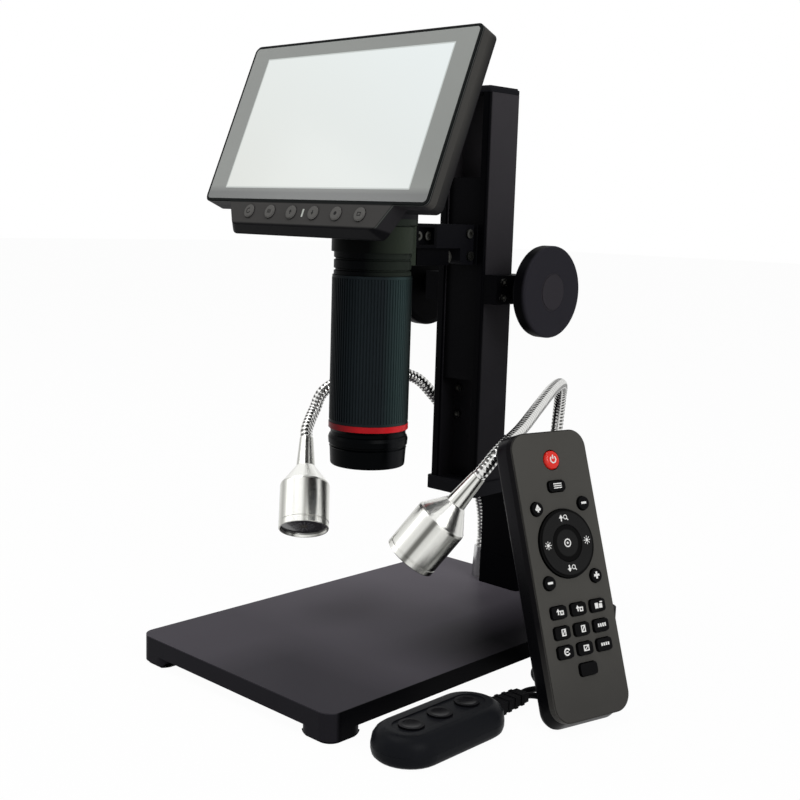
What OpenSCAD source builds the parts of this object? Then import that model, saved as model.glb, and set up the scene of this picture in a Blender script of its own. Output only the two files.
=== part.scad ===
// Digital microscope with its own screen: a rack and pinion stand carries a
// camera barrel, two gooseneck lamps light the stage, and an inline lamp
// controller and a handheld remote lie beside the base. Millimetres, +Z up,
// origin where the optical axis meets the stage.

/* [Base] */
// Width of the base plate
base_w = 123; // [112:1:150]
// Depth of the base plate, front to back
base_d = 196; // [190:1:240]
// Thickness of the base plate
base_t = 7.8; // [6:0.1:12]
// Corner radius of the base plate
base_r = 6.5; // [4:0.5:8]
// Thickness of the base plate's top skin
base_skin = 2.6; // [1.5:0.1:3.2]
// Thickness of the base plate's side walls
base_wall = 4; // [3:0.5:6]
// Thickness of the bottom cover
cover_t = 1.5; // [1:0.1:2]
// Height of the four legs, pads included
leg_h = 4.9; // [4.4:0.1:8]
// Length of each leg along the edges
leg_len = 19; // [14:1:26]
// Thickness of the rubber pads under the legs
pad_t = 1.2; // [0.8:0.1:2]
// Distance from the optical axis to the base's front edge
base_back = 118; // [112:0.5:124]

/* [Column] */
// Distance from the optical axis to the column's front face
column_reach = 58.5; // [54:0.5:70]
// Width of the column
column_w = 28.2; // [26:0.2:34]
// Depth of the column, front to back
column_d = 21.7; // [21:0.1:26]
// Height of the column's lower end above the stage
column_z = 54.9; // [50:0.1:60]
// Length of the column over its caps
column_len = 191.3; // [180:0.1:240]
// Wall of the column extrusion
column_wall = 2.2; // [1.6:0.1:3]
// Width of the slot between the front lips
slot_w = 20.4; // [18:0.2:22]
// Thickness of the front lips
lip_t = 2.2; // [1.5:0.1:3]
// Height of each end cap
cap_h = 6.6; // [4:0.1:9]
// How far the lower cap stands proud of the column
cap_lip = 1.4; // [0.5:0.1:2]

/* [Pedestal] */
// Width of the pedestal casting
pedestal_w = 24.4; // [22:0.2:28]
// Distance from the column's back to the pedestal's front face
pedestal_gap = 17.3; // [14:0.1:20]
// Depth of the pedestal's post
pedestal_d = 18.5; // [14:0.5:24]
// Height of the pedestal's boot
boot_h = 16; // [10:0.5:22]
// Height of the pedestal's top above the stage
pedestal_top = 80; // [76:0.5:86]

/* [Focus drive] */
// Height of the focus shaft above the stage
shaft_z = 153.8; // [145:0.1:165]
// Radius of the focus shaft
shaft_r = 3; // [2.5:0.1:3.5]
// Teeth on the pinion
pinion_teeth = 15; // [15:1:15]
// Module of the rack and the pinion
tooth_module = 0.8; // [0.7:0.01:0.84]
// Height of the bearing block
block_h = 13.4; // [12:0.1:18]
// Radius of the bearing block's sleeves
sleeve_r = 5.8; // [5.4:0.1:6.4]
// Radius of the focus knobs
knob_r = 21.1; // [16:0.1:26]
// Thickness of each focus knob
knob_t = 7.6; // [5:0.1:12]
// Distance from the centre plane to a knob's inner face
knob_x = 33.7; // [32:0.1:42]
// Radius of the plate let into each knob
knob_cap_r = 8.6; // [6:0.1:11]

/* [Carriage] */
// Height of the slider's lower end above the stage at rest
slider_z = 110; // [106:0.5:112]
// Length of the slider
slider_len = 95; // [93:0.5:97]
// Width of the carriage arm
arm_w = 16.4; // [14:0.2:18]
// Height of the carriage arm
arm_h = 10.8; // [9:0.1:12]
// Length of the slot window in the clamp yoke
yoke_len = 13.4; // [11:0.1:16]

/* [Camera barrel] */
// Height of the barrel's flange above the stage
flange_z = 182; // [180:0.5:184]
// Radius of the barrel's flange
flange_r = 19.2; // [18.6:0.1:21]
// Thickness of the barrel's flange
flange_t = 3; // [2:0.1:3.5]
// Radius of the barrel's seat in the holder ring
seat_r = 17; // [16.4:0.1:17.2]
// Wall of the holder ring
ring_wall = 1; // [0.8:0.05:1.4]
// Height of the holder ring
ring_h = 11.2; // [9:0.1:11.4]
// Outer radius of the ribbed focus ring
grip_r = 17.55; // [16.5:0.05:19]
// Height of the focus ring's lower end above the stage
grip_z = 96; // [90:0.5:98]
// Length of the ribbed focus ring
grip_len = 64.5; // [60:0.5:66.2]
// Number of ribs round the focus ring
grip_ribs = 80; // [60:1:96]
// Height of the red accent ring
accent_h = 2.6; // [2:0.1:6]
// Height of the lens nose's lower end above the stage
nose_z = 76.8; // [72:0.2:79]

/* [Screen head] */
// Width of the visible screen
lcd_w = 110.7; // [100:0.1:116]
// Height of the visible screen
lcd_h = 62; // [56:0.1:66]
// Width of the head
head_w = 134.2; // [130:0.2:142]
// Height of the head, without the button bar
head_h = 75.5; // [74:0.1:84]
// Thickness of the head at its edge
head_t = 9; // [8.5:0.1:11]
// How far the rear shell bulges behind that edge
bulge_t = 8; // [6:0.1:10]
// Tilt of the screen, its top leaning back
head_tilt = 22.67; // [22:0.01:23.4]
// Place of the screen's centre in front of the optical axis
screen_y = -25.34; // [-26:0.01:-25]
// Height of the screen's centre above the stage
screen_z = 224.93; // [224.5:0.01:226]
// Wall of the head's shells
shell_wall = 2; // [1.5:0.1:2.4]
// Spacing of the six buttons under the screen
button_pitch = 13.4; // [12:0.1:14]
// Radius of each button under the screen
button_r = 2.9; // [2.4:0.1:3.2]

/* [Lamps] */
// Spacing of the two goosenecks' roots
root_spacing = 37; // [35:0.5:60]
// Radius of the gooseneck tubes
gooseneck_r = 3; // [2.4:0.1:3.2]
// Radius of each lamp head
lamp_r = 11.8; // [10:0.1:12.4]
// Length of each lamp's straight barrel
lamp_len = 22.4; // [16:0.2:24]
// Height of each lamp's shoulder
lamp_shoulder = 9.3; // [6:0.1:11]
// Length of each lamp's tapered neck
lamp_neck = 15; // [10:0.1:18]

/* [Lamp controller] */
// Length of the controller
controller_len = 63; // [56:1:70]
// Width of the controller
controller_w = 29; // [26:0.5:30]
// Height of the controller
controller_h = 11.6; // [10.8:0.1:16]
// Distance between the controller's buttons
controller_pitch = 16; // [14:0.5:17]

/* [Remote] */
// Width of the remote
remote_w = 39; // [38.2:0.1:46]
// Length of the remote above its round key pad
remote_top = 46; // [44:0.1:52]
// Length of the remote below its round key pad
remote_bottom = 69.3; // [64:0.1:74]
// Thickness of the remote
remote_t = 12.4; // [10:0.1:14]
// Thickness of the remote's front shell
remote_front_t = 3.6; // [3.2:0.1:4.2]
// How far the remote leans back
remote_lean = 19.8; // [18:0.1:22]
// Which way the remote faces
remote_yaw = 76.4; // [72:0.1:80]
// Radius of the remote's round key pad
pad_r = 13.8; // [12.5:0.1:14.2]

/* [Cords] */
// Diameter of the two cords
cord_d = 2.6; // [2.2:0.1:2.8]

/* [Hidden] */

$fn = 64;
eps = 0.01;
cut = 1;                            // how far a cutting solid runs past the face it cuts
run_gap = 0.05;                     // radial clearance of a running fit
slide_gap = 0.2;                    // clearance of a sliding or seated piece
seat_gap = 0.5;                     // between curved faces of two pieces that move apart
floor_z = -base_t - leg_h;          // the surface that the whole set stands on

// Stand
base_y1 = base_back;
base_y0 = base_y1 - base_d;
base_cy = (base_y0 + base_y1) / 2;
column_y1 = column_reach + column_d;
column_top = column_z + column_len;
rail_z0 = column_z + 1.8;           // the extrusion's own lower end, inside the lower cap
rail_z1 = column_top - 3;           // and its upper end, under the top cap
plug_z0 = column_z + cap_h;         // what the caps' plugs leave free for the slider
plug_z1 = column_top - 3.2;
pedestal_y0 = column_y1 + pedestal_gap;
pedestal_y1 = pedestal_y0 + pedestal_d;
seat_z = column_z + cap_h + 0.6;    // underside of the pedestal's seat on the column
tongue_h = 0.4 * pedestal_top;      // how far its tongue runs up inside the column past the seat

// Focus drive
pitch = PI * tooth_module;
pitch_r = tooth_module * pinion_teeth / 2;
addendum = tooth_module;
dedendum = 1.25 * tooth_module;
backlash = 0.16;                    // share of the pitch left free between the flanks
shaft_y = column_y1 - 4.2;
rack_y = shaft_y - pitch_r;         // the rack's pitch plane
rack_w = 9;
web_y0 = rack_y + addendum + 0.4;   // front of the web that closes the slider's channel
web_t = 1.8;
tongue_y0 = web_y0 + web_t + slide_gap;
tongue_y1 = column_y1 - column_wall - slide_gap;
channel_w = column_w - 2 * column_wall - 0.2;
block_wall = 7.9;                   // the bearing block beside and behind the column
block_back = 5.8;
bush_wall = 1.2;
bush_len = 10;
window_h = 2 * (pitch_r + addendum) + 2.4;

// Carriage
slider_y0 = column_reach + lip_t + slide_gap;
slider_y1 = rack_y - dedendum;
arm_z1 = flange_z + 1.2;
arm_z0 = arm_z1 - arm_h;
plate_y0 = 14.8;                    // the plate behind the holder ring
plate_y1 = 18.6;
yoke_y1 = plate_y1 + yoke_len;
arm_y1 = column_reach - 0.7;
foot_y0 = arm_y1 - 9.2;             // the arm's deeper foot, screwed to the slider
foot_z0 = arm_z0 - 7.5;
ring_z0 = flange_z - ring_h - 0.3;

// Screen head, in the frame of the screen: X right, Y into the head, Z up the screen
head_rise = (head_h - 74.8) / 2;    // centre of the head above the centre of the screen
head_r = 3;
rim = 1.3;                          // housing rim round the cover glass
glass_t = 1.5;
panel_t = 3.2;
split_y = 4.6;                      // where the front and rear shells meet
bar_top = head_rise - head_h / 2;   // upper edge of the button bar
bar_h = 10.6;
bar_w0 = 98.4;                      // width of the bar at its upper and lower edges
bar_w1 = 85;
bar_t = 5;
bar_skin = 1.8;
bar_flare = 2.2;                    // how far the bar's back edge stands below its face
bar_side = 3.8;                     // and outside its ends
bar_row = bar_top - 4.4;            // height of the row of buttons
button_travel = 0.5;
bulge_inset = 12;
board_t = 1.6;
neck_y0 = -20.5;                    // front of the camera housing, behind the button bar

// Lamps: a lamp's place is the middle of its barrel, its axis points where it shines
nose_r = grip_r - 1.95;             // neck of the barrel's nose
nose_bore = 0.7 * grip_r;
lens_r = 1.63 * grip_r;             // curvature of the lens's back

lamp_mid = [[-39, -1.9, 49.7], [37.4, -0.7, 50.2]];
lamp_axis = [[0.415, -0.395, -0.82], [-0.48, -0.36, -0.8]];
lamp_reach = lamp_len / 2 + lamp_shoulder + lamp_neck;
lamp_neck_r = 4.5;                  // where the neck meets the shoulder
ferrule_h = 16;
root_y = 106;
function unit(v) = v / norm(v);
function lamp_top(i) = lamp_mid[i] - lamp_reach * unit(lamp_axis[i]);
function root(i) = [(i == 0 ? -1 : 1) * root_spacing / 2, root_y, 0];
left_route = [[-18.5, 106.5, 24], [-19.8, 104.5, 42], [-24, 92, 75], [-31, 75, 99],
              [-37.5, 66, 107.3], [-46.5, 47, 110.5], [-55.5, 26.6, 101.7], [-58, 20.7, 91]];
right_route = [[19.3, 108.5, 30], [20, 111.5, 58], [21.2, 112.8, 86], [24.5, 109.5, 99.5],
               [30, 102, 107.5], [38, 84.5, 107.8], [46, 62.5, 101.8], [54, 40.5, 95.5], [59, 21, 90]];
function gooseneck_path(i) =
    concat([root(i), root(i) + [0, 0, ferrule_h]], i == 0 ? left_route : right_route,
           [lamp_top(i) - 5 * unit(lamp_axis[i]), lamp_top(i) - seat_gap * unit(lamp_axis[i])]);

// Lamp controller and cords
controller_x = 85;
controller_y = -42.5;
controller_split = 4.8;             // height of the seam above the floor
relief_len = 22;
relief_y0 = controller_y + controller_len / 2 - 1.4;
relief_y1 = relief_y0 + relief_len;
relief_z = floor_z + 4.2;
cord_gap = 2.8;                     // spacing of the two cords in the strain relief
grommet_y = 87;
grommet_z = -4.2;
grommet_len = 5;
cord_rest = floor_z + cord_d / 2;
lamp_route = [[83.9, 14, -8.2], [84.4, 18.5, -8.6], [83.4, 24.5, -10.4], [78, 30.5, -11.3], [71, 36, -11.4],
              [66.6, 42, -11.4], [64.3, 49, -11.4], [64, 58, -11.4], [65.2, 68, -11.2], [69.5, 76, -9.6],
              [72.6, 82, -6.6], [71.4, 86, -4.6]];
power_route = [[87.4, 15, -9.6], [91, 20, -11.3], [95.5, 27, -11.4], [98, 36, -11.4], [98.6, 44, -11.4]];
coil_x = 84;
coil_y = 52;
coil_mean_r = 14;
coil_rows = 3;
coil_cols = 3;
plug_turn = 123.5;                  // the plug lies on the coil, pointing this way
plug_start = [8.2, -12.4, 0];       // where its boot starts, from the coil's centre
plug_rise = 2.5;

// Remote, in the frame of its face: X right, Y into the remote, Z up its face
remote_x = 98.1;
remote_y = 16;
chin = 2.4;                         // how far the back shell runs below the face
chin_back = 3;                      // depth of the chin's lowest edge in front of the remote's back
remote_z = floor_z + (remote_bottom + chin) * cos(remote_lean) + (remote_t - chin_back) * sin(remote_lean);
remote_r = 7.5;
remote_mid = (remote_top - remote_bottom) / 2;
remote_len = remote_top + remote_bottom;
key_gap = 0.35;
key_rise = 1.2;
key_travel = 0.8;
power_z = 34.1;
menu_z = 23.3;
side_keys = [[-12.1, 15.1], [12.1, 15.1], [-12.1, -14.6], [12.1, -14.6]];
row_z = [-26.4, -34.4, -42];
column_x = 10.1;
small_key = [7.6, 4.8];
blank_z = -50.1;
ok_r = 7.3;
side_key_r = 2.7;
power_r = 3.9;
menu_key = [8.6, 4.4];
door_w = 0.71 * remote_w;           // battery door
door_h = 0.5 * remote_bottom;
mat_t = 1;

// ---- Shapes that repeat ----

// Rounded rectangle about the origin, drawn with true arcs
module rounded_rect(w, d, r) {
    square([w - 2 * r, d], center = true);
    square([w, d - 2 * r], center = true);
    for (sx = [-1, 1], sy = [-1, 1])
        translate([sx * (w / 2 - r), sy * (d / 2 - r)]) circle(r);
}

// Box with upright rounded edges, from z0 to z1
module rounded_box(w, d, r, z0, z1) {
    translate([0, 0, z0]) linear_extrude(z1 - z0) rounded_rect(w, d, r);
}

// Plate in an upright frame: outline in X and Z, from y0 to y1
module upright_plate(w, h, r, y0, y1) {
    translate([0, y1, 0]) rotate([90, 0, 0]) linear_extrude(y1 - y0) rounded_rect(w, h, r);
}

// Prism with its profile in Y and Z and its length along X
module side_prism(w, points) {
    translate([-w / 2, 0, 0]) rotate([90, 0, 90]) linear_extrude(w) polygon(points);
}

// Cylinder along X from x0 to x1
module rod_x(r, x0, x1) {
    translate([x0, 0, 0]) rotate([0, 90, 0]) cylinder(r = r, h = x1 - x0);
}

// Cylinder along Y from y0 to y1
module rod_y(r, y0, y1) {
    translate([0, y1, 0]) rotate([90, 0, 0]) cylinder(r = r, h = y1 - y0);
}

// Pan-head screw: its head stands on z = 0, its shank hangs below
module screw(r, length, head_r, head_h) {
    difference() {
        union() {
            cylinder(r = head_r, h = head_h);
            translate([0, 0, -length]) cylinder(r = r, h = length + eps);
        }
        translate([0, 0, head_h - 0.7]) cylinder(r = 0.5 * head_r, h = cut, $fn = 6);
    }
}

// Places its children on a direction: their +Z turns to v
module aim(v) {
    u = unit(v);
    rotate([0, acos(u.z), atan2(u.y, u.x)]) children();
}

// Points on a smooth curve through the given ones, steps to each stretch
function bend(a, b, c, d, t) =
    0.5 * ((2 * b) + (c - a) * t + (2 * a - 5 * b + 4 * c - d) * t * t
           + (3 * b - a - 3 * c + d) * t * t * t);
function smooth(p, steps) =
    let (n = len(p))
    [for (i = [0:n - 2], k = [0:steps - 1])
        bend(p[max(i - 1, 0)], p[i], p[i + 1], p[min(i + 2, n - 1)], k / steps),
     p[n - 1]];

// Round tube swept along a list of points, each ring turned on from the last
function ring_side(t, previous) = unit(previous - (previous * t) * t);
function sides(p, i = 0, previous = [1, 0.3, 0.2]) =
    i == len(p) ? []
    : let (t = unit(p[min(i + 1, len(p) - 1)] - p[max(i - 1, 0)]), s = ring_side(t, previous))
      concat([[s, cross(t, s)]], sides(p, i + 1, s));
module tube(path, r, n) {
    m = len(path);
    frames = sides(path);
    points = [for (i = [0:m - 1], k = [0:n - 1])
        path[i] + r * (frames[i][0] * cos(360 * k / n) + frames[i][1] * sin(360 * k / n))];
    skin = [for (i = [0:m - 2], k = [0:n - 1])
        [i * n + k, i * n + (k + 1) % n, (i + 1) * n + (k + 1) % n, (i + 1) * n + k]];
    ends = [[for (k = [n - 1:-1:0]) k], [for (k = [0:n - 1]) (m - 1) * n + k]];
    polyhedron(points, concat([for (q = skin) [q[3], q[2], q[1], q[0]]],
                              [for (e = ends) [for (k = [len(e) - 1:-1:0]) e[k]]]), convexity = 10);
}

// ---- Base ----

// One leg's foot outline as seen from the side: sloped at its inner end
module leg(top_z, bottom_z, inset) {
    slope = 3.5;
    intersection() {
        side_prism(2 * leg_len, [[0, top_z], [0, bottom_z], [leg_len - slope - inset, bottom_z],
                                 [leg_len - inset * 0.4, top_z]]);
        rotate(-90) mirror([1, 0, 0])
            side_prism(2 * leg_len, [[0, top_z], [0, bottom_z], [leg_len - slope - inset, bottom_z],
                                     [leg_len - inset * 0.4, top_z]]);
        translate([leg_len / 2 + inset, leg_len / 2 + inset, bottom_z])
            rounded_box(leg_len, leg_len, base_r - inset, 0, top_z - bottom_z);
    }
}

module at_corners() {
    for (sx = [0, 1], sy = [0, 1])
        translate([sx ? base_w / 2 : -base_w / 2, sy ? base_y1 : base_y0, 0])
            mirror([sx, 0, 0]) mirror([0, sy, 0]) children();
}

module base_plate() {
    color([0.17, 0.165, 0.18]) difference() {
        union() {
            translate([0, base_cy, 0]) rounded_box(base_w, base_d, base_r, -base_t, 0);
            at_corners() leg(-base_t, -base_t - leg_h + pad_t, 0);
        }
        // hollow underside, with ribs left between its pockets
        for (k = [0:4])
            translate([0, base_cy + (k - 2) * (base_d - 44) / 5, 0])
                rounded_box(base_w - 2 * base_wall - 4, (base_d - 44) / 5 - 3, 2,
                            -base_t - cut, -base_skin);
        // step that takes the bottom cover
        translate([0, base_cy, 0])
            rounded_box(base_w - 2 * base_wall, base_d - 43, 3, -base_t - cut, -base_t + cover_t);
        for (i = [0, 1]) translate(root(i)) translate([0, 0, -base_t - cut])
            cylinder(r = gooseneck_r + 0.9, h = base_t + 2 * cut);
        translate([0, grommet_y, grommet_z]) rod_x(2.4, base_w / 2 - base_wall - 3, base_w / 2 + cut);
        // channel that takes the lamp leads from the goosenecks to the grommet
        translate([base_w / 2 - base_wall - 10, grommet_y - 3, -base_t - cut])
            cube([8, root_y - grommet_y + 8, base_t - base_skin + cut]);
        for (sx = [-1, 1]) translate([sx * 9, (pedestal_y0 + pedestal_y1) / 2, -base_t - cut]) {
            cylinder(r = 2.1, h = base_t + 2 * cut);
            cylinder(r = 3.8, h = base_t - base_skin + cut);
        }
    }
}

module base_cover() {
    color([0.2, 0.2, 0.21]) translate([0, base_cy, 0])
        rounded_box(base_w - 2 * base_wall - 0.4, base_d - 43.4, 3, -base_t, -base_t + cover_t - 0.1);
}

module feet() {
    color([0.05, 0.05, 0.05]) at_corners()
        leg(-base_t - leg_h + pad_t, floor_z, 1.2);
}

// ---- Pedestal and column ----

// Side outline of the pedestal: an upright post that bends forward to the column
pedestal_bend = 26;
function arc(cy, cz, r, a0, a1, n) =
    [for (k = [0:n]) let (a = a0 + (a1 - a0) * k / n) [cy + r * cos(a), cz + r * sin(a)]];

module pedestal() {
    y_in = pedestal_y0;
    y_out = pedestal_y1;
    inner_r = 9;
    color([0.12, 0.12, 0.13]) difference() {
        union() {
            side_prism(pedestal_w, concat(
                [[y_in, 0], [y_out, 0], [y_out, pedestal_top - pedestal_bend]],
                arc(y_out - pedestal_bend, pedestal_top - pedestal_bend, pedestal_bend, 0, 90, 12),
                [[column_y1, pedestal_top], [column_y1, seat_z]],
                arc(y_in - inner_r, seat_z - inner_r, inner_r, 90, 0, 8)));
            translate([0, (y_in + y_out) / 2, 0])
                rounded_box(pedestal_w + 1, pedestal_d + 2, 2, 0, boot_h);
            // tongue that runs up inside the column
            translate([0, (tongue_y0 + tongue_y1) / 2, 0])
                rounded_box(channel_w - 0.6, tongue_y1 - tongue_y0, 1, seat_z, pedestal_top + tongue_h);
            translate([-channel_w / 2 + 0.5, column_y1 - 3, seat_z])
                cube([channel_w - 1, 3.2, pedestal_top - seat_z - 1]);
        }
        for (sx = [-1, 1]) translate([sx * 9, (y_in + y_out) / 2, -cut])
            cylinder(r = 1.7, h = 14);
        for (s = web_screws) translate([s[0], web_y0 + web_t, s[1]]) rod_y(1.3, -cut, 5);
    }
}

// Screws in the channel: lower pairs hold the pedestal's tongue, upper ones the stop
web_screws = [[-8.6, 91], [8.6, 91], [-8.6, 104], [8.6, 104]];

module stand_screws() {
    color([0.55, 0.55, 0.56]) {
        for (s = web_screws) translate([s[0], web_y0, s[1]]) rotate([90, 0, 0])
            screw(1.25, 6, 2, 1.3);
        for (sx = [-1, 1]) translate([sx * 9, (pedestal_y0 + pedestal_y1) / 2, -base_skin])
            mirror([0, 0, 1]) translate([0, 0, 0.2]) screw(1.65, 12, 3.4, 2);
        for (sx = [-1, 1], dz = [-1, 1])
            translate([sx * (column_w / 2 + block_wall), column_reach + 5, shaft_z + dz * 3.6])
                rotate([0, sx * 90, 0]) screw(1.2, 6, 1.9, 1);
    }
}

module column() {
    inner = column_w - 2 * column_wall;
    color([0.16, 0.16, 0.17]) difference() {
        translate([0, column_reach + column_d / 2, 0])
            rounded_box(column_w, column_d, 1, rail_z0, rail_z1);
        // slot between the lips, then the slider's channel, then the closed box behind
        translate([-slot_w / 2, column_reach - cut, rail_z0 - cut])
            cube([slot_w, lip_t + 2 * cut, column_len + cut]);
        translate([-inner / 2, column_reach + lip_t, rail_z0 - cut])
            cube([inner, web_y0 - column_reach - lip_t, column_len + cut]);
        translate([-inner / 2, web_y0 + web_t, rail_z0 - cut])
            cube([inner, column_y1 - column_wall - web_y0 - web_t, column_len + cut]);
        // windows for the pinion, holes for its shaft, and the way in for the pedestal
        translate([-rack_w / 2 - 1, web_y0 - cut, shaft_z - window_h / 2])
            cube([rack_w + 2, column_d, window_h]);
        translate([0, shaft_y, shaft_z]) rod_x(shaft_r + 0.6, -column_w, column_w);
        translate([-channel_w / 2, column_y1 - column_wall - cut, rail_z0 - cut])
            cube([channel_w, column_wall + 2 * cut, pedestal_top - rail_z0 + cut]);
        for (s = web_screws) translate([s[0], web_y0, s[1]]) rod_y(1.35, -cut, web_t + cut);
        for (sx = [-1, 1], dz = [-1, 1])
            translate([0, column_reach + 5, shaft_z + dz * 3.6])
                rod_x(1.2, sx > 0 ? column_w / 2 - 1 : -column_w / 2 - cut,
                      sx > 0 ? column_w / 2 + cut : -column_w / 2 + 1);
    }
}

module column_caps() {
    inner = column_w - 2 * column_wall - 2 * slide_gap;
    cy = column_reach + column_d / 2;
    color([0.14, 0.14, 0.15]) {
        // top cap: a plate with a chamfered edge, and a plug in the closed box
        translate([0, cy, 0]) rounded_box(column_w, column_d, 1, rail_z1, column_top - 0.8);
        translate([0, cy, 0]) rounded_box(column_w - 1.2, column_d - 1.2, 0.8, column_top - 0.8 - eps, column_top);
        translate([-inner / 2, web_y0 + web_t + slide_gap, rail_z1 - 4])
            cube([inner, column_y1 - column_wall - web_y0 - web_t - 2 * slide_gap, 4 + eps]);
        // lower cap: a tray that the column stands in, cut away for the pedestal
        difference() {
            translate([0, cy, 0])
                rounded_box(column_w + 2 * cap_lip, column_d + 2 * cap_lip, 1.6, column_z, plug_z0);
            translate([0, cy, 0])
                rounded_box(column_w + 0.1, column_d + 0.1, 1, rail_z0, plug_z0 + cut);
        }
        translate([-inner / 2, column_reach + lip_t + slide_gap, rail_z0 - eps])
            cube([inner, web_y0 - column_reach - lip_t - 2 * slide_gap, plug_z0 - rail_z0 - 1]);
    }
}

// ---- Focus drive ----

module bearing_block() {
    w = column_w + 2 * block_wall;
    y1 = column_y1 + block_back;
    z0 = shaft_z - block_h / 2;
    color([0.03, 0.03, 0.035]) difference() {
        union() {
            // wraps the column's sides and back, its rear corners chamfered
            translate([0, 0, z0]) linear_extrude(block_h)
                polygon([[-w / 2, column_reach + 0.6], [w / 2, column_reach + 0.6],
                         [w / 2, y1 - 4], [w / 2 - 4, y1], [-w / 2 + 4, y1], [-w / 2, y1 - 4]]);
            translate([0, shaft_y, shaft_z]) rod_x(sleeve_r, -knob_x + 0.5, knob_x - 0.5);
        }
        translate([-column_w / 2, column_reach - cut, z0 - cut])
            cube([column_w, column_d + cut, block_h + 2 * cut]);
        translate([0, shaft_y, shaft_z]) {
            rod_x(shaft_r + bush_wall, -knob_x, knob_x);
            rod_x(pitch_r + addendum + 0.5, -rack_w / 2 - 1, rack_w / 2 + 1);
        }
        for (sx = [-1, 1], dz = [-1, 1])
            translate([sx * column_w / 2, column_reach + 5, shaft_z + dz * 3.6])
                rod_x(1.3, sx > 0 ? 0 : -block_wall - cut, sx > 0 ? block_wall + cut : 0);
    }
}

module shaft_bushes() {
    color([0.72, 0.55, 0.3]) for (sx = [-1, 1])
        translate([sx * (knob_x - 0.5 - bush_len / 2), shaft_y, shaft_z]) difference() {
            rod_x(shaft_r + bush_wall, -bush_len / 2, bush_len / 2);
            rod_x(shaft_r + run_gap, -bush_len, bush_len);
        }
}

// Half width of a tooth at a height above the pitch line, for the pinion and the rack
function tooth_half(h) = pitch * (0.25 - backlash / 4) - h * tan(20);

module pinion_outline() {
    step = 360 / pinion_teeth;
    half_root = atan2(tooth_half(-dedendum) * 0.86, pitch_r - dedendum);
    half_pitch = atan2(tooth_half(0) * 0.95, pitch_r);
    half_tip = atan2(tooth_half(addendum) * 0.8, pitch_r + addendum);
    polygon([for (k = [0:pinion_teeth - 1], e = [[-half_root, -dedendum], [-half_pitch, 0],
                  [-half_tip, addendum], [half_tip, addendum], [half_pitch, 0],
                  [half_root, -dedendum]])
        let (a = k * step + e[0], r = pitch_r + e[1]) [r * cos(a), r * sin(a)]]);
}

module focus_shaft() {
    color([0.75, 0.75, 0.77]) translate([0, shaft_y, shaft_z]) {
        rod_x(shaft_r, -knob_x - knob_t + 2, knob_x + knob_t - 2);
        // a tooth points straight at the rack at rest
        rotate([-90, 0, 0]) rotate([0, 90, 0]) translate([0, 0, -rack_w / 2 + 0.5])
            linear_extrude(rack_w - 1) pinion_outline();
    }
}

// One knob, its inner face on x = 0
module knob() {
    rotate([0, 90, 0]) difference() {
        rotate_extrude($fn = 96) polygon(concat(
            [[0, 0], [knob_r - 2.6, 0]],
            [for (a = [-90:30:0]) [knob_r - 1.4 + 1.4 * cos(a), 1.7 + 1.4 * sin(a)]],
            [for (a = [0:30:90]) [knob_r - 1.2 + 1.2 * cos(a), knob_t - 1.2 + 1.2 * sin(a)]],
            [[0, knob_t]]));
        translate([0, 0, -cut]) cylinder(r = shaft_r + 0.02, h = knob_t + 2 * cut);
        translate([0, 0, knob_t - 1.4]) cylinder(r = knob_cap_r + 0.1, h = 2 * cut);
    }
}

module focus_knobs() {
    color([0.13, 0.13, 0.14]) translate([0, shaft_y, shaft_z]) {
        translate([knob_x, 0, 0]) knob();
        mirror([1, 0, 0]) translate([knob_x, 0, 0]) knob();
    }
}

module knob_caps() {
    color([0.2, 0.2, 0.2]) translate([0, shaft_y, shaft_z]) for (s = [0, 1])
        mirror([s, 0, 0]) translate([knob_x + knob_t - 1.4, 0, 0]) rotate([0, 90, 0]) {
            cylinder(r = knob_cap_r, h = 1.4);
            cylinder(r = knob_cap_r - 0.6, h = 1.7);
        }
}

// ---- Carriage ----

module slider() {
    guide_w = column_w - 2 * column_wall - 2 * slide_gap;
    z1 = slider_z + slider_len;
    teeth = floor((slider_len - 2) / pitch);
    color([0.5, 0.5, 0.52]) difference() {
        union() {
            translate([-guide_w / 2, slider_y0, slider_z]) cube([guide_w, slider_y1 - slider_y0, slider_len]);
            // boss that reaches out through the slot to the arm
            translate([-slot_w / 2 + slide_gap, arm_y1, foot_z0])
                cube([slot_w - 2 * slide_gap, slider_y0 - arm_y1 + eps, arm_z1 - foot_z0]);
            // rack: a gap stands opposite the pinion's tooth at rest
            for (k = [-60:60]) let (z = shaft_z + (k + 0.5) * pitch)
                if (z - pitch / 2 > slider_z && z + pitch / 2 < z1)
                    translate([0, 0, z]) side_prism(rack_w, [
                        [slider_y1 - eps, -tooth_half(-dedendum)], [rack_y + addendum, -tooth_half(addendum)],
                        [rack_y + addendum, tooth_half(addendum)], [slider_y1 - eps, tooth_half(-dedendum)]]);
        }
        for (z = arm_bolts) translate([0, 0, z]) rod_y(1.6, arm_y1 - cut, slider_y0 + 4);
    }
}

arm_bolts = [arm_z1 - 5.6, foot_z0 + 3.4];

module carriage_arm() {
    r = 2.2;
    color([0.2, 0.2, 0.21]) difference() {
        union() {
            side_prism(arm_w, concat(
                [[yoke_y1, arm_z0], [foot_y0, arm_z0], [foot_y0, foot_z0 + r]],
                arc(foot_y0 + r, foot_z0 + r, r, 180, 270, 5),
                [[arm_y1, foot_z0], [arm_y1, arm_z1]], [[yoke_y1, arm_z1]]));
        }
        for (z = arm_bolts) translate([0, 0, z]) {
            rod_y(1.7, foot_y0 - cut, arm_y1 + cut);
            rod_y(3, foot_y0 - 20, foot_y0 + 3);
        }
        for (s = side_bolts) translate([0, s[0], s[1]]) rod_x(1.2, arm_w / 2 - 5, arm_w / 2 + cut);
        translate([0, 0, (arm_z0 + arm_z1) / 2]) rod_y(1.6, yoke_y1 - cut, yoke_y1 + 8);
    }
}

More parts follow.
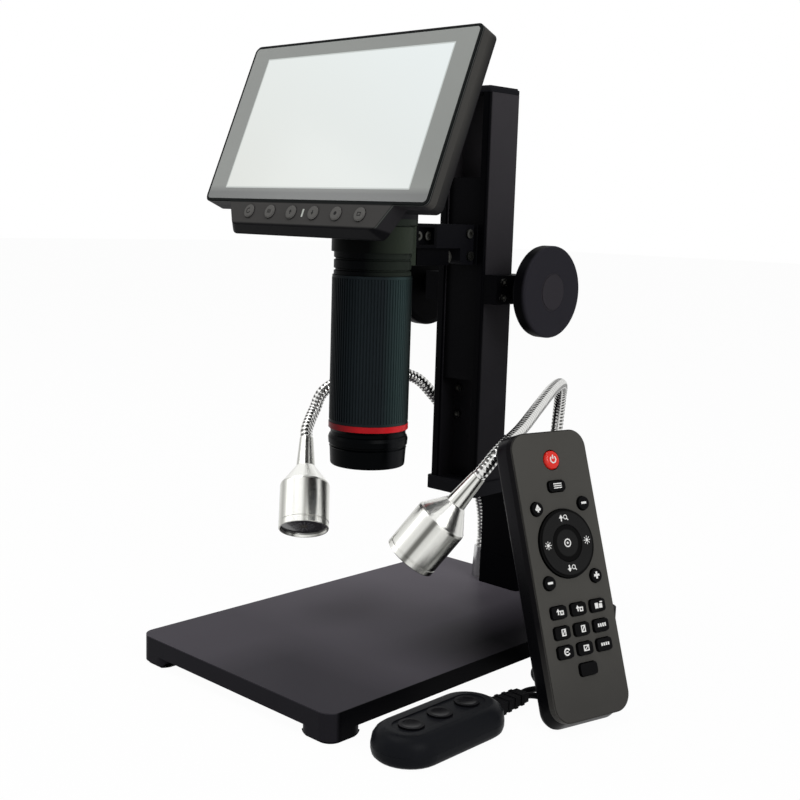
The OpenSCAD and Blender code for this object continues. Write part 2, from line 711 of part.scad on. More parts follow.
// Screws in the arm's right side, as [y, z]
side_bolts = [[foot_y0 + 5.5, arm_z1 - 4.1], [foot_y0 + 6.3, foot_z0 + 4]];
yoke_bolts = [plate_y1 + 4.2, plate_y1 + yoke_len - 3];

// Room for the barrel's flange where the plate and the yoke stand higher than it
module flange_recess() {
    translate([0, 0, ring_z0 + ring_h]) cylinder(r = flange_r + slide_gap, h = arm_h);
}

module holder_ring() {
    color([0.3, 0.31, 0.26]) difference() {
        union() {
            translate([0, 0, ring_z0]) cylinder(r = seat_r + run_gap + ring_wall, h = ring_h);
            translate([-arm_w / 2, plate_y0, arm_z0 - 7.5]) cube([arm_w, plate_y1 - plate_y0, arm_h + 7.5]);
        }
        translate([0, 0, ring_z0 - 9]) cylinder(r = seat_r + run_gap, h = ring_h + 20);
        flange_recess();
        for (sx = [-1, 1]) translate([sx * 5, 0, (arm_z0 + arm_z1) / 2])
            rod_y(1.3, plate_y0 - cut, plate_y1 + cut);
    }
}

module clamp_yoke() {
    color([0.1, 0.1, 0.11]) difference() {
        union() {
            translate([-arm_w / 2, plate_y1, arm_z0]) cube([arm_w, yoke_len, arm_h]);
            // lock block under the yoke, reaching under the arm
            translate([-arm_w / 2 + 2, plate_y1 + 3, arm_z0 - 7.8])
                cube([arm_w - 4, yoke_len + 8, 7.8]);
        }
        flange_recess();
        // window on each side, open to the screws
        for (sx = [-1, 1])
            translate([sx > 0 ? arm_w / 2 - 3.6 : -arm_w / 2 - cut, plate_y1 + 1.6, arm_z0 + 1.6])
                cube([3.6 + cut, yoke_len - 3.2, arm_h - 3.2]);
        for (y = yoke_bolts, sx = [-1, 1])
            translate([0, y, (arm_z0 + arm_z1) / 2])
                rod_x(1.2, sx > 0 ? 1 : -arm_w, sx > 0 ? arm_w : -1);
    }
}

module carriage_screws() {
    color([0.62, 0.62, 0.6]) {
        for (s = side_bolts) translate([arm_w / 2, s[0], s[1]]) rotate([0, 90, 0])
            screw(1.15, 4, 2.1, 1.1);
        for (y = yoke_bolts, sx = [-1, 1])
            translate([sx * (arm_w / 2 - 3.6), y, (arm_z0 + arm_z1) / 2]) rotate([0, sx * 90, 0])
                screw(1.15, 3, 2, 1.4);
        for (z = arm_bolts) translate([0, foot_y0 + 3, z]) rotate([90, 0, 0])
            screw(1.55, 12, 2.8, 2);
    }
}

// ---- Camera barrel ----

module barrel_tube() {
    neck_r = seat_r - 0.1;
    color([0.12, 0.14, 0.14]) difference() {
        rotate_extrude($fn = 96) polygon([
            [11, grip_z - 3], [14, grip_z - 3], [14, grip_z + grip_len + 0.2], [neck_r, grip_z + grip_len + 0.2],
            [neck_r, grip_z + grip_len + 1.8], [neck_r - 0.7, grip_z + grip_len + 2.1],
            [neck_r - 0.7, grip_z + grip_len + 2.6], [neck_r, grip_z + grip_len + 2.9],
            [neck_r, ring_z0 - 3.6], [neck_r - 0.7, ring_z0 - 3.3], [neck_r - 0.7, ring_z0 - 2.8],
            [neck_r, ring_z0 - 2.5], [neck_r, ring_z0 - 0.6], [seat_r, ring_z0],
            [seat_r, flange_z], [flange_r - 0.6, flange_z], [flange_r, flange_z + 0.6],
            [flange_r, flange_z + flange_t], [11, flange_z + flange_t]]);
    }
}

module focus_ring() {
    rib_h = 0.45;
    valley = grip_r - rib_h;
    step = 360 / grip_ribs;
    color([0.1, 0.14, 0.14]) difference() {
        union() {
            translate([0, 0, grip_z + 1.2]) linear_extrude(grip_len - 2.4)
                polygon([for (k = [0:grip_ribs - 1], e = [[0, grip_r], [0.5, grip_r], [0.62, valley], [0.88, valley]])
                    let (a = (k + e[0]) * step) [e[1] * cos(a), e[1] * sin(a)]]);
            translate([0, 0, grip_z]) cylinder(r = grip_r - 0.1, h = 1.2 + eps);
            translate([0, 0, grip_z + grip_len - 1.2 - eps]) cylinder(r = grip_r - 0.1, h = 1.2);
            // neck that carries the accent ring and the lens nose
            translate([0, 0, grip_z - accent_h - 3]) cylinder(r = nose_r, h = accent_h + 3 + eps);
        }
        translate([0, 0, grip_z - 3 - 0.2]) cylinder(r = 14 + run_gap, h = grip_len + 10);
        translate([0, 0, grip_z - 20]) cylinder(r = 12, h = grip_len);
    }
}

module accent_ring() {
    color([0.75, 0.12, 0.14]) translate([0, 0, grip_z - accent_h]) difference() {
        cylinder(r = grip_r + 0.15, h = accent_h - 0.05);
        translate([0, 0, -cut]) cylinder(r = nose_r + 0.02, h = accent_h + 2 * cut);
    }
}

module lens_nose() {
    z1 = grip_z - accent_h - 0.05;
    color([0.07, 0.07, 0.08]) rotate_extrude($fn = 96) polygon(concat(
        [[nose_bore, nose_z], [nose_r, nose_z]],
        arc(nose_r, nose_z + 1, 1, -90, 0, 3),
        [[17, z1 - 8.6], [17.2, z1 - 8.3], [16.6, z1 - 7.9], [16.6, z1 - 7.3], [17.5, z1 - 6.9],
         [17.7, z1 - 4.4], [17.2, z1 - 3], [16.7, z1 - 2.6], [16.7, z1 - 1.2], [17.3, z1],
         [nose_r + 0.02, z1], [nose_r + 0.02, z1 - 2.95], [nose_bore, z1 - 2.95]]));
}

module lens_glass() {
    color([0.7, 0.8, 0.85, 0.5]) translate([0, 0, nose_z + 2.2]) intersection() {
        cylinder(r = nose_bore - 0.02, h = 3);
        translate([0, 0, lens_r - 0.6]) sphere(r = lens_r, $fn = 96);
    }
}

// ---- Screen head ----

// Puts its children, drawn in the screen's frame, where the head stands
module head_frame() {
    translate([0, screen_y, screen_z]) rotate([-head_tilt, 0, 0]) children();
}

module head_slab(grow, r, y0, y1) {
    translate([0, 0, head_rise]) upright_plate(head_w + 2 * grow, head_h + 2 * grow, r, y0, y1);
}

// Outline of the button bar, grown at its ends and downwards
module bar_slab(side, down, y0, y1) {
    translate([0, y1, 0]) rotate([90, 0, 0]) linear_extrude(y1 - y0)
        polygon([[-bar_w0 / 2 - side, bar_top + 0.6], [-bar_w1 / 2 - side, bar_top - bar_h - down],
                 [bar_w1 / 2 + side, bar_top - bar_h - down], [bar_w0 / 2 + side, bar_top + 0.6]]);
}

function button_x(i) = (i - 2.5) * button_pitch;

module front_housing() {
    color([0.16, 0.16, 0.165]) head_frame() difference() {
        union() {
            head_slab(0, head_r, 0.3, split_y);
            head_slab(-0.3, head_r, 0, 0.31);
            hull() {
                bar_slab(0, 0, 0, 0.1);
                bar_slab(bar_side, bar_flare, bar_t - 0.1, bar_t);
            }
        }
        head_slab(-rim, head_r - rim, -cut, glass_t + 0.05);
        upright_plate(lcd_w + 7, lcd_h + 7, 1, 0, split_y);
        head_slab(-rim - 2.4, 1, glass_t + 1.7, split_y + cut);
        // hollow of the bar, the button holes and the slit for the status light
        translate([-bar_w1 / 2 + 1, bar_skin, bar_top - bar_h + 1.6]) cube([bar_w1 - 2, bar_t, bar_h - 1]);
        for (i = [0:5]) translate([button_x(i), 0, bar_row]) rod_y(button_r + 0.12, -cut, bar_skin + cut);
        translate([-0.6, -cut, bar_row - 1.8]) cube([1.2, bar_skin + 2 * cut, 3.6]);
    }
}

module cover_glass() {
    color([0.5, 0.52, 0.5]) head_frame()
        head_slab(-rim - 0.1, head_r - rim, 0, glass_t);
}

module lcd_panel() {
    color([0.85, 0.9, 0.9]) head_frame()
        upright_plate(lcd_w + 6.4, lcd_h + 6.4, 0.6, glass_t + 0.05, glass_t + 0.05 + panel_t);
}

module rear_housing() {
    bulge_w = head_w - 2 * bulge_inset;
    bulge_h = head_h - 2 * bulge_inset + 4;
    color([0.1, 0.1, 0.105]) head_frame() difference() {
        union() {
            head_slab(0, head_r, split_y + 0.02, head_t + eps);
            translate([0, 0, head_rise]) hull() {
                upright_plate(head_w - 1.6, head_h - 1.6, head_r, head_t - 0.1, head_t, $fn = 32);
                upright_plate(bulge_w, bulge_h, head_r, head_t + bulge_t - 0.1, head_t + bulge_t, $fn = 32);
            }
            bar_slab(bar_side - 1.4, bar_flare - 1.2, bar_t + 0.02, bar_t + 1.4);
        }
        head_slab(-shell_wall, 1, split_y - cut, head_t - 0.5);
        translate([0, 0, head_rise]) hull() {
            upright_plate(head_w - 2 * shell_wall - 1.6, head_h - 2 * shell_wall - 1.6, 1,
                          head_t - 0.6, head_t - 0.5, $fn = 16);
            upright_plate(bulge_w - 2 * shell_wall, bulge_h - 2 * shell_wall, 1,
                          head_t + bulge_t - shell_wall - 0.1, head_t + bulge_t - shell_wall, $fn = 16);
        }
        // way through for the camera's lead, and room for the bar's upper edge
        translate([0, 0, -8]) upright_plate(22, 12, 2, head_t, head_t + bulge_t + cut);
        translate([0, 0, 0.05]) bar_slab(bar_side + 0.5, -0.05, split_y - cut, bar_t + 0.02);
    }
}

// Side outline of the camera housing: it stands on the flange and meets the rear shell
function on_back(s, y) = [screen_y + s * sin(head_tilt) + y * cos(head_tilt),
                          screen_z + s * cos(head_tilt) - y * sin(head_tilt)];

module camera_housing() {
    z0 = flange_z + flange_t;
    back = head_t + bulge_t + 0.04;
    hi = on_back(20, back);
    lo = on_back((neck_y0 - screen_y - back * cos(head_tilt)) / sin(head_tilt), back);
    color([0.1, 0.1, 0.105]) difference() {
        intersection() {
            translate([0, 0, z0]) linear_extrude(60) {
                circle(flange_r, $fn = 96);
                translate([-flange_r, neck_y0]) square([2 * flange_r, -neck_y0]);
            }
            side_prism(3 * flange_r, [[neck_y0, z0], [flange_r + 1, z0], [flange_r + 1, z0 + 24],
                                      [hi[0] + 8, hi[1]], hi, lo]);
        }
        translate([0, 0, z0 - cut]) cylinder(r = flange_r - shell_wall, h = 22);
        translate([0, 0, z0 + 10]) rotate([90, 0, 0]) upright_plate(22, 1, 0.4, 0, 1);
    }
}

module main_board() {
    y0 = glass_t + panel_t + 0.35;
    color([0.1, 0.35, 0.2]) {
        head_frame() {
            translate([0, 0, head_rise]) upright_plate(0.9 * lcd_w, 0.74 * lcd_h, 1, y0, y0 + board_t);
            upright_plate(0.56 * lcd_w, 9, 1, y0 + board_t, y0 + 5);
            translate([0, 0, bar_row]) upright_plate(5.8 * button_pitch, 6.2, 0.5, 3.6, bar_t - 0.05);
        }
        // camera sensor on its carrier, over the barrel's bore
        rounded_box(22, 22, 1, flange_z + flange_t + 0.05, flange_z + flange_t + 1.65);
        rounded_box(9, 9, 0.5, flange_z + flange_t - 1.6, flange_z + flange_t + 0.06);
    }
}

module screen_button(i) {
    color([0.22, 0.22, 0.23]) head_frame() translate([button_x(i), 0, bar_row]) {
        rod_y(button_r, -0.6, bar_skin + 0.2);
        rod_y(button_r - 0.4, -0.8, 0);
        rod_y(button_r + 0.7, bar_skin + 0.1, bar_skin + 0.7);
        rod_y(1, bar_skin + 0.6, 3.6 - button_travel - 0.1);
    }
}

// ---- Lamps ----

module gooseneck_ferrules() {
    color([0.8, 0.8, 0.82]) for (i = [0, 1]) translate(root(i)) difference() {
        union() {
            cylinder(r1 = gooseneck_r + 1.8, r2 = gooseneck_r + 0.9, h = ferrule_h);
            translate([0, 0, -base_skin]) cylinder(r = gooseneck_r + 0.85, h = base_skin + eps);
        }
        translate([0, 0, -base_t]) cylinder(r = gooseneck_r + 0.05, h = base_t + ferrule_h + cut);
    }
}

module gooseneck(i) {
    color([0.82, 0.82, 0.83])
        tube(smooth(gooseneck_path(i), 4), gooseneck_r, 10);
}

module gooseneck_left() { gooseneck(0); }
module gooseneck_right() { gooseneck(1); }

// A lamp stands on its mouth with its neck up, then turns to its place
module at_lamp(i) {
    translate(lamp_mid[i]) aim(-lamp_axis[i]) children();
}

module lamp_head(i) {
    half = lamp_len / 2;
    color([0.8, 0.8, 0.78]) at_lamp(i) rotate_extrude() polygon([
        [0, half - 2], [lamp_r - 1.2, half - 2], [lamp_r - 1.2, -half + 1], [lamp_r - 0.7, -half],
        [lamp_r - 0.2, -half], [lamp_r, -half + 0.3], [lamp_r, -half + 2.4], [lamp_r - 0.25, -half + 2.6],
        [lamp_r - 0.25, -half + 3], [lamp_r, -half + 3.2], [lamp_r, half - 1], [lamp_r - 0.3, half],
        [lamp_r - 0.9, half + 0.7], [lamp_neck_r + 0.4, half + lamp_shoulder - 0.4],
        [lamp_neck_r, half + lamp_shoulder], [gooseneck_r + 0.3, lamp_reach - 0.2],
        [gooseneck_r + 0.1, lamp_reach], [0, lamp_reach]]);
}

module lamp_lens(i) {
    half = lamp_len / 2;
    color([0.6, 0.65, 0.68, 0.6]) at_lamp(i) {
        translate([0, 0, -half + 1.4]) cylinder(r = lamp_r - 1.22, h = 2);
        translate([0, 0, -half + 3.3]) cylinder(r1 = 8.6, r2 = 4, h = 7);
        translate([0, 0, -half + 10.2]) cylinder(r = 6, h = half * 2 - 12.2);
    }
}

module lamp_left_head() { lamp_head(0); }
module lamp_right_head() { lamp_head(1); }
module lamp_left_lens() { lamp_lens(0); }
module lamp_right_lens() { lamp_lens(1); }

// ---- Lamp controller and cords ----

module stadium(length, w, z0, z1) {
    translate([0, 0, z0]) linear_extrude(z1 - z0) {
        square([w, length - w], center = true);
        for (s = [-1, 1]) translate([0, s * (length - w) / 2]) circle(w / 2);
    }
}

module controller_blank(z0, z1, inset) {
    steps = [[0, 1.6], [1, 0.5], [2.6, 0.05], [controller_split, 0], [controller_h - 4, 0.5],
             [controller_h - 2.1, 1.7], [controller_h - 0.8, 3.4], [controller_h, 5.4]];
    intersection() {
        for (k = [0:6]) hull() for (e = [steps[k], steps[k + 1]])
            stadium(controller_len - 2 * e[1] - 2 * inset, controller_w - 2 * e[1] - 2 * inset,
                    min(e[0], controller_h - 0.05 - inset), min(e[0], controller_h - 0.05 - inset) + 0.05, $fn = 32);
        translate([0, 0, z0]) linear_extrude(z1 - z0) square(2 * controller_len, center = true);
    }
}

module controller_frame() {
    translate([controller_x, controller_y, floor_z]) children();
}

module controller_base() {
    color([0.12, 0.12, 0.125]) controller_frame() difference() {
        controller_blank(0, controller_split, 0);
        stadium(controller_len - 6, controller_w - 6, 2, controller_split + cut);
        translate([0, relief_y0 - controller_y, relief_z - floor_z]) translate([-4.6, -0.1, -2.6]) cube([9.2, 20, 5.2]);
    }
}

module controller_top() {
    color([0.13, 0.13, 0.135]) controller_frame() difference() {
        controller_blank(controller_split, controller_h, 0);
        stadium(controller_len - 6, controller_w - 6, controller_split - cut, controller_h - 2.6);
        for (k = [-1:1]) translate([0, k * controller_pitch, 0])
            cylinder(r = 5.1, h = controller_h + cut);
        translate([0, relief_y0 - controller_y, relief_z - floor_z]) translate([-4.6, -0.1, -2.6]) cube([9.2, 20, 5.2]);
        // shallow panel round the buttons
        stadium(controller_len - 15, 12.6, controller_h - 0.5, controller_h + cut);
    }
}

module controller_button(k) {
    color([0.1, 0.1, 0.1]) controller_frame() translate([0, (k - 2) * controller_pitch, 0]) difference() {
        union() {
            translate([0, 0, controller_h - 4.4]) cylinder(r = 5, h = 4.7);
            translate([0, 0, controller_h - 4.4]) cylinder(r = 5.9, h = 1.2);
            translate([0, 0, 5]) cylinder(r = 1.6, h = 4);
        }
        translate([0, 0, controller_h + 0.3 + 20 - 0.35]) sphere(r = 20, $fn = 96);
    }
}

module strain_relief() {
    color([0.1, 0.1, 0.105]) translate([controller_x, relief_y0, relief_z]) difference() {
        union() {
            translate([-4.5, 0, -2.5]) cube([9, 6, 5]);
            hull() {
                translate([-3.9, 6 - eps, -2.3]) cube([7.8, 0.1, 4.6]);
                translate([-3.2, relief_len - 0.1, -1.9]) cube([6.4, 0.1, 3.8]);
            }
            for (k = [0:2]) translate([-4.1 + k * 0.2, 8 + k * 4.4, -2.5 + k * 0.1])
                cube([8.2 - k * 0.4, 2, 5 - k * 0.2]);
        }
        for (s = [-1, 1]) translate([s * cord_gap / 2, 0, 0])
            rod_y(cord_d / 2 + 0.02, relief_len - 4, relief_len + cut);
    }
}

module base_grommet() {
    color([0.08, 0.08, 0.08]) translate([0, grommet_y, grommet_z]) difference() {
        union() {
            rod_x(2.35, base_w / 2 - base_wall + 0.1, base_w / 2 + eps);
            translate([base_w / 2, 0, 0]) rotate([0, 90, 0])
                cylinder(r1 = 3.2, r2 = 2.2, h = grommet_len);
        }
        rod_x(cord_d / 2 + 0.02, base_w / 2 + grommet_len - 3, base_w);
    }
}

module lamp_cord() {
    start = [controller_x - cord_gap / 2, relief_y1, relief_z];
    end = [base_w / 2 + grommet_len, grommet_y, grommet_z];
    color([0.06, 0.06, 0.06]) tube(smooth(concat(
        [start - [0, 3.8, 0], start], lamp_route, [end, end - [2.8, 0, 0]]), 3), cord_d / 2, 8);
}

module power_cord() {
    start = [controller_x + cord_gap / 2, relief_y1, relief_z];
    lift = coil_rows * cord_d + cord_d / 2;
    color([0.06, 0.06, 0.06]) {
        tube(smooth(concat([start - [0, 3.8, 0], start], power_route,
                           [[coil_x + coil_mean_r + cord_d, coil_y - 4, cord_rest]]), 3), cord_d / 2, 8);
        // tail that leaves the top of the coil and turns back into the plug
        tube(smooth([for (p = [[coil_mean_r - 0.4, 4, -1.4], [coil_mean_r + 0.6, 0, 0], [coil_mean_r + 1.2, -6, 0.4],
                               [coil_mean_r, -12.4, 0.4], [9.6, -15.2, 0.6], plug_start + [0, 0, plug_rise]])
            [coil_x, coil_y, floor_z + lift] + p], 3), cord_d / 2, 8);
    }
}

module power_coil() {
    half_w = coil_cols * cord_d / 2;
    h = coil_rows * cord_d;
    color([0.06, 0.06, 0.06]) translate([coil_x, coil_y, floor_z]) rotate_extrude()
        polygon([[coil_mean_r - half_w, 0.6], [coil_mean_r - half_w + 0.6, 0], [coil_mean_r + half_w - 0.6, 0],
                 [coil_mean_r + half_w, 0.6], [coil_mean_r + half_w, h - 0.6], [coil_mean_r + half_w - 0.6, h],
                 [coil_mean_r - half_w + 0.6, h], [coil_mean_r - half_w, h - 0.6]]);
}

module usb_plug() {
    color([0.1, 0.1, 0.1]) translate([coil_x, coil_y, floor_z + coil_rows * cord_d] + plug_start)
        rotate([0, 0, plug_turn]) {
            hull() {
                translate([0, -2, 1.8]) cube([0.1, 4, 4]);
                translate([8, -3.4, 0.4]) cube([0.1, 6.8, 6.8]);
            }
            translate([8, -6, 0]) cube([14, 12, 7.6]);
            translate([22, -6, 1.5]) difference() {
                cube([12, 12, 4.5]);
                translate([1, 0.3, 0.3]) cube([12, 11.4, 2]);
            }
        }
}

// ---- Remote ----

module remote_frame() {
    translate([remote_x, remote_y, remote_z]) rotate([0, 0, remote_yaw]) rotate([-remote_lean, 0, 0]) children();
}

// Slab of the remote's outline, grown or shrunk, from y0 to y1
module remote_slab(grow, y0, y1) {
    translate([0, 0, remote_mid]) upright_plate(remote_w + 2 * grow, remote_len + 2 * grow, remote_r + grow, y0, y1);
}

// The same slab with the chin that the back shell has below the face
module chin_slab(grow, y0, y1) {
    translate([0, 0, remote_mid - chin / 2])
        upright_plate(remote_w + 2 * grow, remote_len + chin + 2 * grow, remote_r + grow, y0, y1);
}

module key_holes(grow, y0, y1) {
    translate([0, 0, power_z]) rod_y(power_r + grow, y0, y1);
    translate([0, 0, menu_z]) upright_plate(menu_key[0] + 2 * grow, menu_key[1] + 2 * grow, 1.5 + grow, y0, y1);
    rod_y(pad_r + grow, y0, y1);
    for (k = side_keys) translate([k[0], 0, k[1]]) rod_y(side_key_r + grow, y0, y1);
    small_keys(grow, y0, y1);
}

module small_keys(grow, y0, y1) {
    for (z = row_z, x = [-column_x, 0, column_x]) translate([x, 0, z])
        upright_plate(small_key[0] + 2 * grow, small_key[1] + 2 * grow, 1.2 + grow, y0, y1);
    translate([0, 0, blank_z]) upright_plate(small_key[0] + 1 + 2 * grow, small_key[1] + 2 * grow, 1.2 + grow, y0, y1);
}

module remote_front() {
    color([0.27, 0.265, 0.25]) remote_frame() difference() {
        union() {
            remote_slab(0, 0.5, remote_front_t);
            remote_slab(-0.5, 0, 0.51);
        }
        remote_slab(-1.8, 1.6, remote_front_t + cut);
        key_holes(key_gap, -cut, 2);
    }
}

module remote_back() {
    color([0.08, 0.08, 0.085]) remote_frame() difference() {
        hull() {
            remote_slab(0, remote_front_t, remote_front_t + 0.1, $fn = 32);
            chin_slab(0, remote_t - chin_back - 1, remote_t - chin_back, $fn = 32);
            chin_slab(-0.8, remote_t - 1.2, remote_t - 1.1, $fn = 32);
            chin_slab(-2.6, remote_t - 0.1, remote_t, $fn = 32);
        }
        remote_slab(-1.8, remote_front_t - cut, remote_t - 1.8);
        // way for the battery door, open at the remote's foot
        translate([-door_w / 2 - 0.15, remote_t - 1.7, -remote_bottom - chin - cut])
            cube([door_w + 0.3, 2 + cut, door_h + 3.2 + cut]);
    }
}

module battery_door() {
    color([0.07, 0.07, 0.075]) remote_frame() {
        translate([-door_w / 2, remote_t - 1.6, -remote_bottom - chin + 2.8]) cube([door_w, 1.5, door_h]);
        for (k = [0:2]) translate([-door_w / 5, remote_t - 0.15, door_h - remote_bottom - 8 + k * 3])
            cube([door_w / 2.5, 0.15, 1]);
    }
}

module remote_keypad() {
    color([0.05, 0.05, 0.05]) remote_frame() {
        difference() {
            remote_slab(-2, remote_front_t - mat_t, remote_front_t);
            translate([0, 0, power_z]) rod_y(power_r + 0.5, -1, remote_t);
            translate([0, 0, menu_z]) upright_plate(menu_key[0] + 1, menu_key[1] + 1, 1.8, -1, remote_t);
            rod_y(pad_r + 0.5, -1, remote_t);
        }
        for (k = side_keys) translate([k[0], 0, k[1]]) rod_y(side_key_r, -key_rise, remote_front_t - mat_t + eps);
        small_keys(0, -key_rise, remote_front_t - mat_t + eps);
    }
}

key_foot = remote_front_t + 1.6;    // where the jointed keys end, over the switches

module remote_power_key() {
    color([0.8, 0.15, 0.1]) remote_frame() translate([0, 0, power_z]) {
        rod_y(power_r, -key_rise, key_foot);
    }
}

module remote_menu_key() {
    color([0.05, 0.05, 0.05]) remote_frame() translate([0, 0, menu_z])
        upright_plate(menu_key[0], menu_key[1], 1.5, -key_rise, key_foot);
}

module remote_ring_key() {
    color([0.12, 0.12, 0.12]) remote_frame() difference() {
        union() {
            rod_y(pad_r, -0.9, key_foot);
            rod_y(pad_r - 1, -1.3, 0);
        }
        rod_y(ok_r + 0.25, -3, remote_t);
    }
}

module remote_ok_key() {
    color([0.13, 0.13, 0.13]) remote_frame() {
        rod_y(ok_r, -1.2, key_foot);
    }
}

base_plate();
base_cover();
feet();
pedestal();
stand_screws();
column();
column_caps();
bearing_block();
shaft_bushes();
gooseneck_left();
gooseneck_right();
gooseneck_ferrules();
slider();
carriage_arm();
holder_ring();
clamp_yoke();
carriage_screws();
cover_glass();
lcd_panel();
front_housing();
rear_housing();
camera_housing();
main_board();
barrel_tube();
screen_button(0);  // screen_button_1
screen_button(1);  // screen_button_2
screen_button(2);  // screen_button_3
screen_button(3);  // screen_button_4
screen_button(4);  // screen_button_5
screen_button(5);  // screen_button_6
focus_ring();
accent_ring();
lens_nose();
lens_glass();
focus_shaft();
focus_knobs();
knob_caps();
lamp_left_head();
lamp_left_lens();
lamp_right_head();
lamp_right_lens();
controller_top();
controller_base();
strain_relief();
lamp_cord();
power_cord();
power_coil();
usb_plug();
controller_button(1);  // controller_button_1
controller_button(2);  // controller_button_2
controller_button(3);  // controller_button_3
base_grommet();
remote_front();
remote_back();
battery_door();
remote_keypad();
remote_power_key();
remote_menu_key();
remote_ring_key();
remote_ok_key();
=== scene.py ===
import math

import bmesh
import bpy
from mathutils import Matrix, Vector


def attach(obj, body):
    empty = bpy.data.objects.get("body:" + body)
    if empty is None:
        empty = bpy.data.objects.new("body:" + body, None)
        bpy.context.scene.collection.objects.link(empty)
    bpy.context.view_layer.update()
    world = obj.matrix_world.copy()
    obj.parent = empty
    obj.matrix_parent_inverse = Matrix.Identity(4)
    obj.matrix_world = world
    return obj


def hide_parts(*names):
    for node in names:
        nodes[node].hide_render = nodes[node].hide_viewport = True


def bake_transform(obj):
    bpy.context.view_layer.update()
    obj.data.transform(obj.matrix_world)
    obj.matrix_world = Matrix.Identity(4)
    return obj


# Looks of a digital microscope on a stand: the finish of every node, the wound goosenecks, the
# cords at their real length, softened edges, and the signs on the keys.

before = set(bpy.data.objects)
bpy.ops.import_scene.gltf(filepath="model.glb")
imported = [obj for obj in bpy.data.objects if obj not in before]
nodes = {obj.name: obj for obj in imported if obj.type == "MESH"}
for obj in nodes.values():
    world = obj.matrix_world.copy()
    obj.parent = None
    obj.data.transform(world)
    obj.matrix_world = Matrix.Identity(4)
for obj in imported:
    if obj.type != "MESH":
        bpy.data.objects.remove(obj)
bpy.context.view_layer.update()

MM = 0.001


def mm(*values):
    """A point given in millimetres, as a vector in metres."""
    return Vector(values) * MM


def linked(name, data):
    """A new object in the scene with the given data."""
    piece = bpy.data.objects.new(name, data)
    bpy.context.scene.collection.objects.link(piece)
    return piece


def from_bmesh(name, bm):
    """A mesh object in the scene from a bmesh, which ends here."""
    data = bpy.data.meshes.new(name)
    bm.to_mesh(data)
    bm.free()
    return linked(name, data)


# ---- Places that the construction has; bare lengths are in millimetres ----

FLOOR_Z = -12.7
HEAD_TILT = math.radians(22.67)
SCREEN_CENTRE = mm(0, -25.34, 224.93)
LCD_W, LCD_H = 110.7, 62.0
BUTTON_PITCH = 13.4
BUTTON_ROW = -41.8                  # height of the keys under the screen, from its centre
BUTTON_FACE = -0.8                  # their faces, in front of the screen's bezel
BAR_TOP = -37.4                     # upper edge of the bar that carries them
BAR_SHOULDER = -44                  # the bar's lower rim is below this
BAR_END = -47                       # and its lower corners are below this
REMOTE_PLACE = mm(98.1, 16.0, 58.05)
REMOTE_YAW = math.radians(76.4)
REMOTE_LEAN = math.radians(19.8)
KEY_FACE = -1.2                     # faces of the remote's keys, in front of its middle plane
RING_FACE = -1.3
RING_MARK_R = 10.1                  # from the middle of the ring key to its signs
SIDE_KEY_X = 12.1                   # the four round keys, to either side of the middle
SIDE_KEY_UP, SIDE_KEY_DOWN = 15.1, -14.6
MENU_Z = 23.3                       # heights over the ring key's middle
POWER_Z = 34.1
ROW_HEIGHTS = (-26.4, -34.4, -42.0)
COLUMN_STEP = 10.1                  # between the columns of rectangular keys
CORD_D = 2.6

head_matrix = Matrix.Translation(SCREEN_CENTRE) @ Matrix.Rotation(-HEAD_TILT, 4, "X")
to_screen = head_matrix.inverted()
remote_matrix = (Matrix.Translation(REMOTE_PLACE) @ Matrix.Rotation(REMOTE_YAW, 4, "Z")
                 @ Matrix.Rotation(-REMOTE_LEAN, 4, "X"))

LAMP_HALF = 11.2                    # from a lamp's middle to the start of its cone
LAMP_CONE = 9.3
LAMP_SLEEVE = 15                    # behind the cone, round the tube
LAMP_REACH = LAMP_HALF + LAMP_CONE + LAMP_SLEEVE
LAMP_MIDS = [Vector((-39, -1.9, 49.7)), Vector((37.4, -0.7, 50.2))]
LAMP_AXES = [Vector((0.415, -0.395, -0.82)).normalized(), Vector((-0.48, -0.36, -0.8)).normalized()]
SIDES = ("left", "right")
PAINTED_REFLECTIONS = [                         # painted reflections: angle round a lamp in degrees, and the grey painted there, from 0 to 255
    [(-180, 210), (-140, 120), (-95, 235), (-50, 110), (-5, 238), (35, 185), (45, 215), (56, 252), (66, 200),
     (78, 175), (88, 160), (95, 245), (122, 245), (136, 200), (147, 160), (165, 215), (180, 210)],
    [(-180, 220), (-140, 110), (-95, 235), (-62, 90), (-50, 150), (-38, 95), (-25, 205), (-8, 235), (4, 205),
     (9, 70), (15, 75), (22, 215), (45, 240), (75, 200), (180, 220)]]

# ---- Camera ----

CAMERA_PLACE = mm(373.337, -376.116, 186.885)
CAMERA_YAW, CAMERA_PITCH, CAMERA_ROLL = (math.radians(a) for a in (43.300, -8.705, 1.790))
LENS_MM = 54.48
SENSOR_MM = 36
CLIP_NEAR, CLIP_FAR = 0.01, 30      # in metres


def make_camera():
    """The scene's camera, turned by its yaw, pitch and roll."""
    data = bpy.data.cameras.new("view")
    data.lens = LENS_MM
    data.sensor_width = SENSOR_MM
    data.clip_start, data.clip_end = CLIP_NEAR, CLIP_FAR
    camera = linked("view", data)
    ahead = Vector((-math.sin(CAMERA_YAW) * math.cos(CAMERA_PITCH),
                    math.cos(CAMERA_YAW) * math.cos(CAMERA_PITCH), math.sin(CAMERA_PITCH)))
    level = Vector((math.cos(CAMERA_YAW), math.sin(CAMERA_YAW), 0))
    upward = level.cross(ahead)
    right = level * math.cos(CAMERA_ROLL) + upward * math.sin(CAMERA_ROLL)
    up = upward * math.cos(CAMERA_ROLL) - level * math.sin(CAMERA_ROLL)
    camera.matrix_world = (Matrix.Translation(CAMERA_PLACE)
                           @ Matrix((right, up, -ahead)).transposed().to_4x4())
    bpy.context.scene.camera = camera


make_camera()

# ---- Routes ----


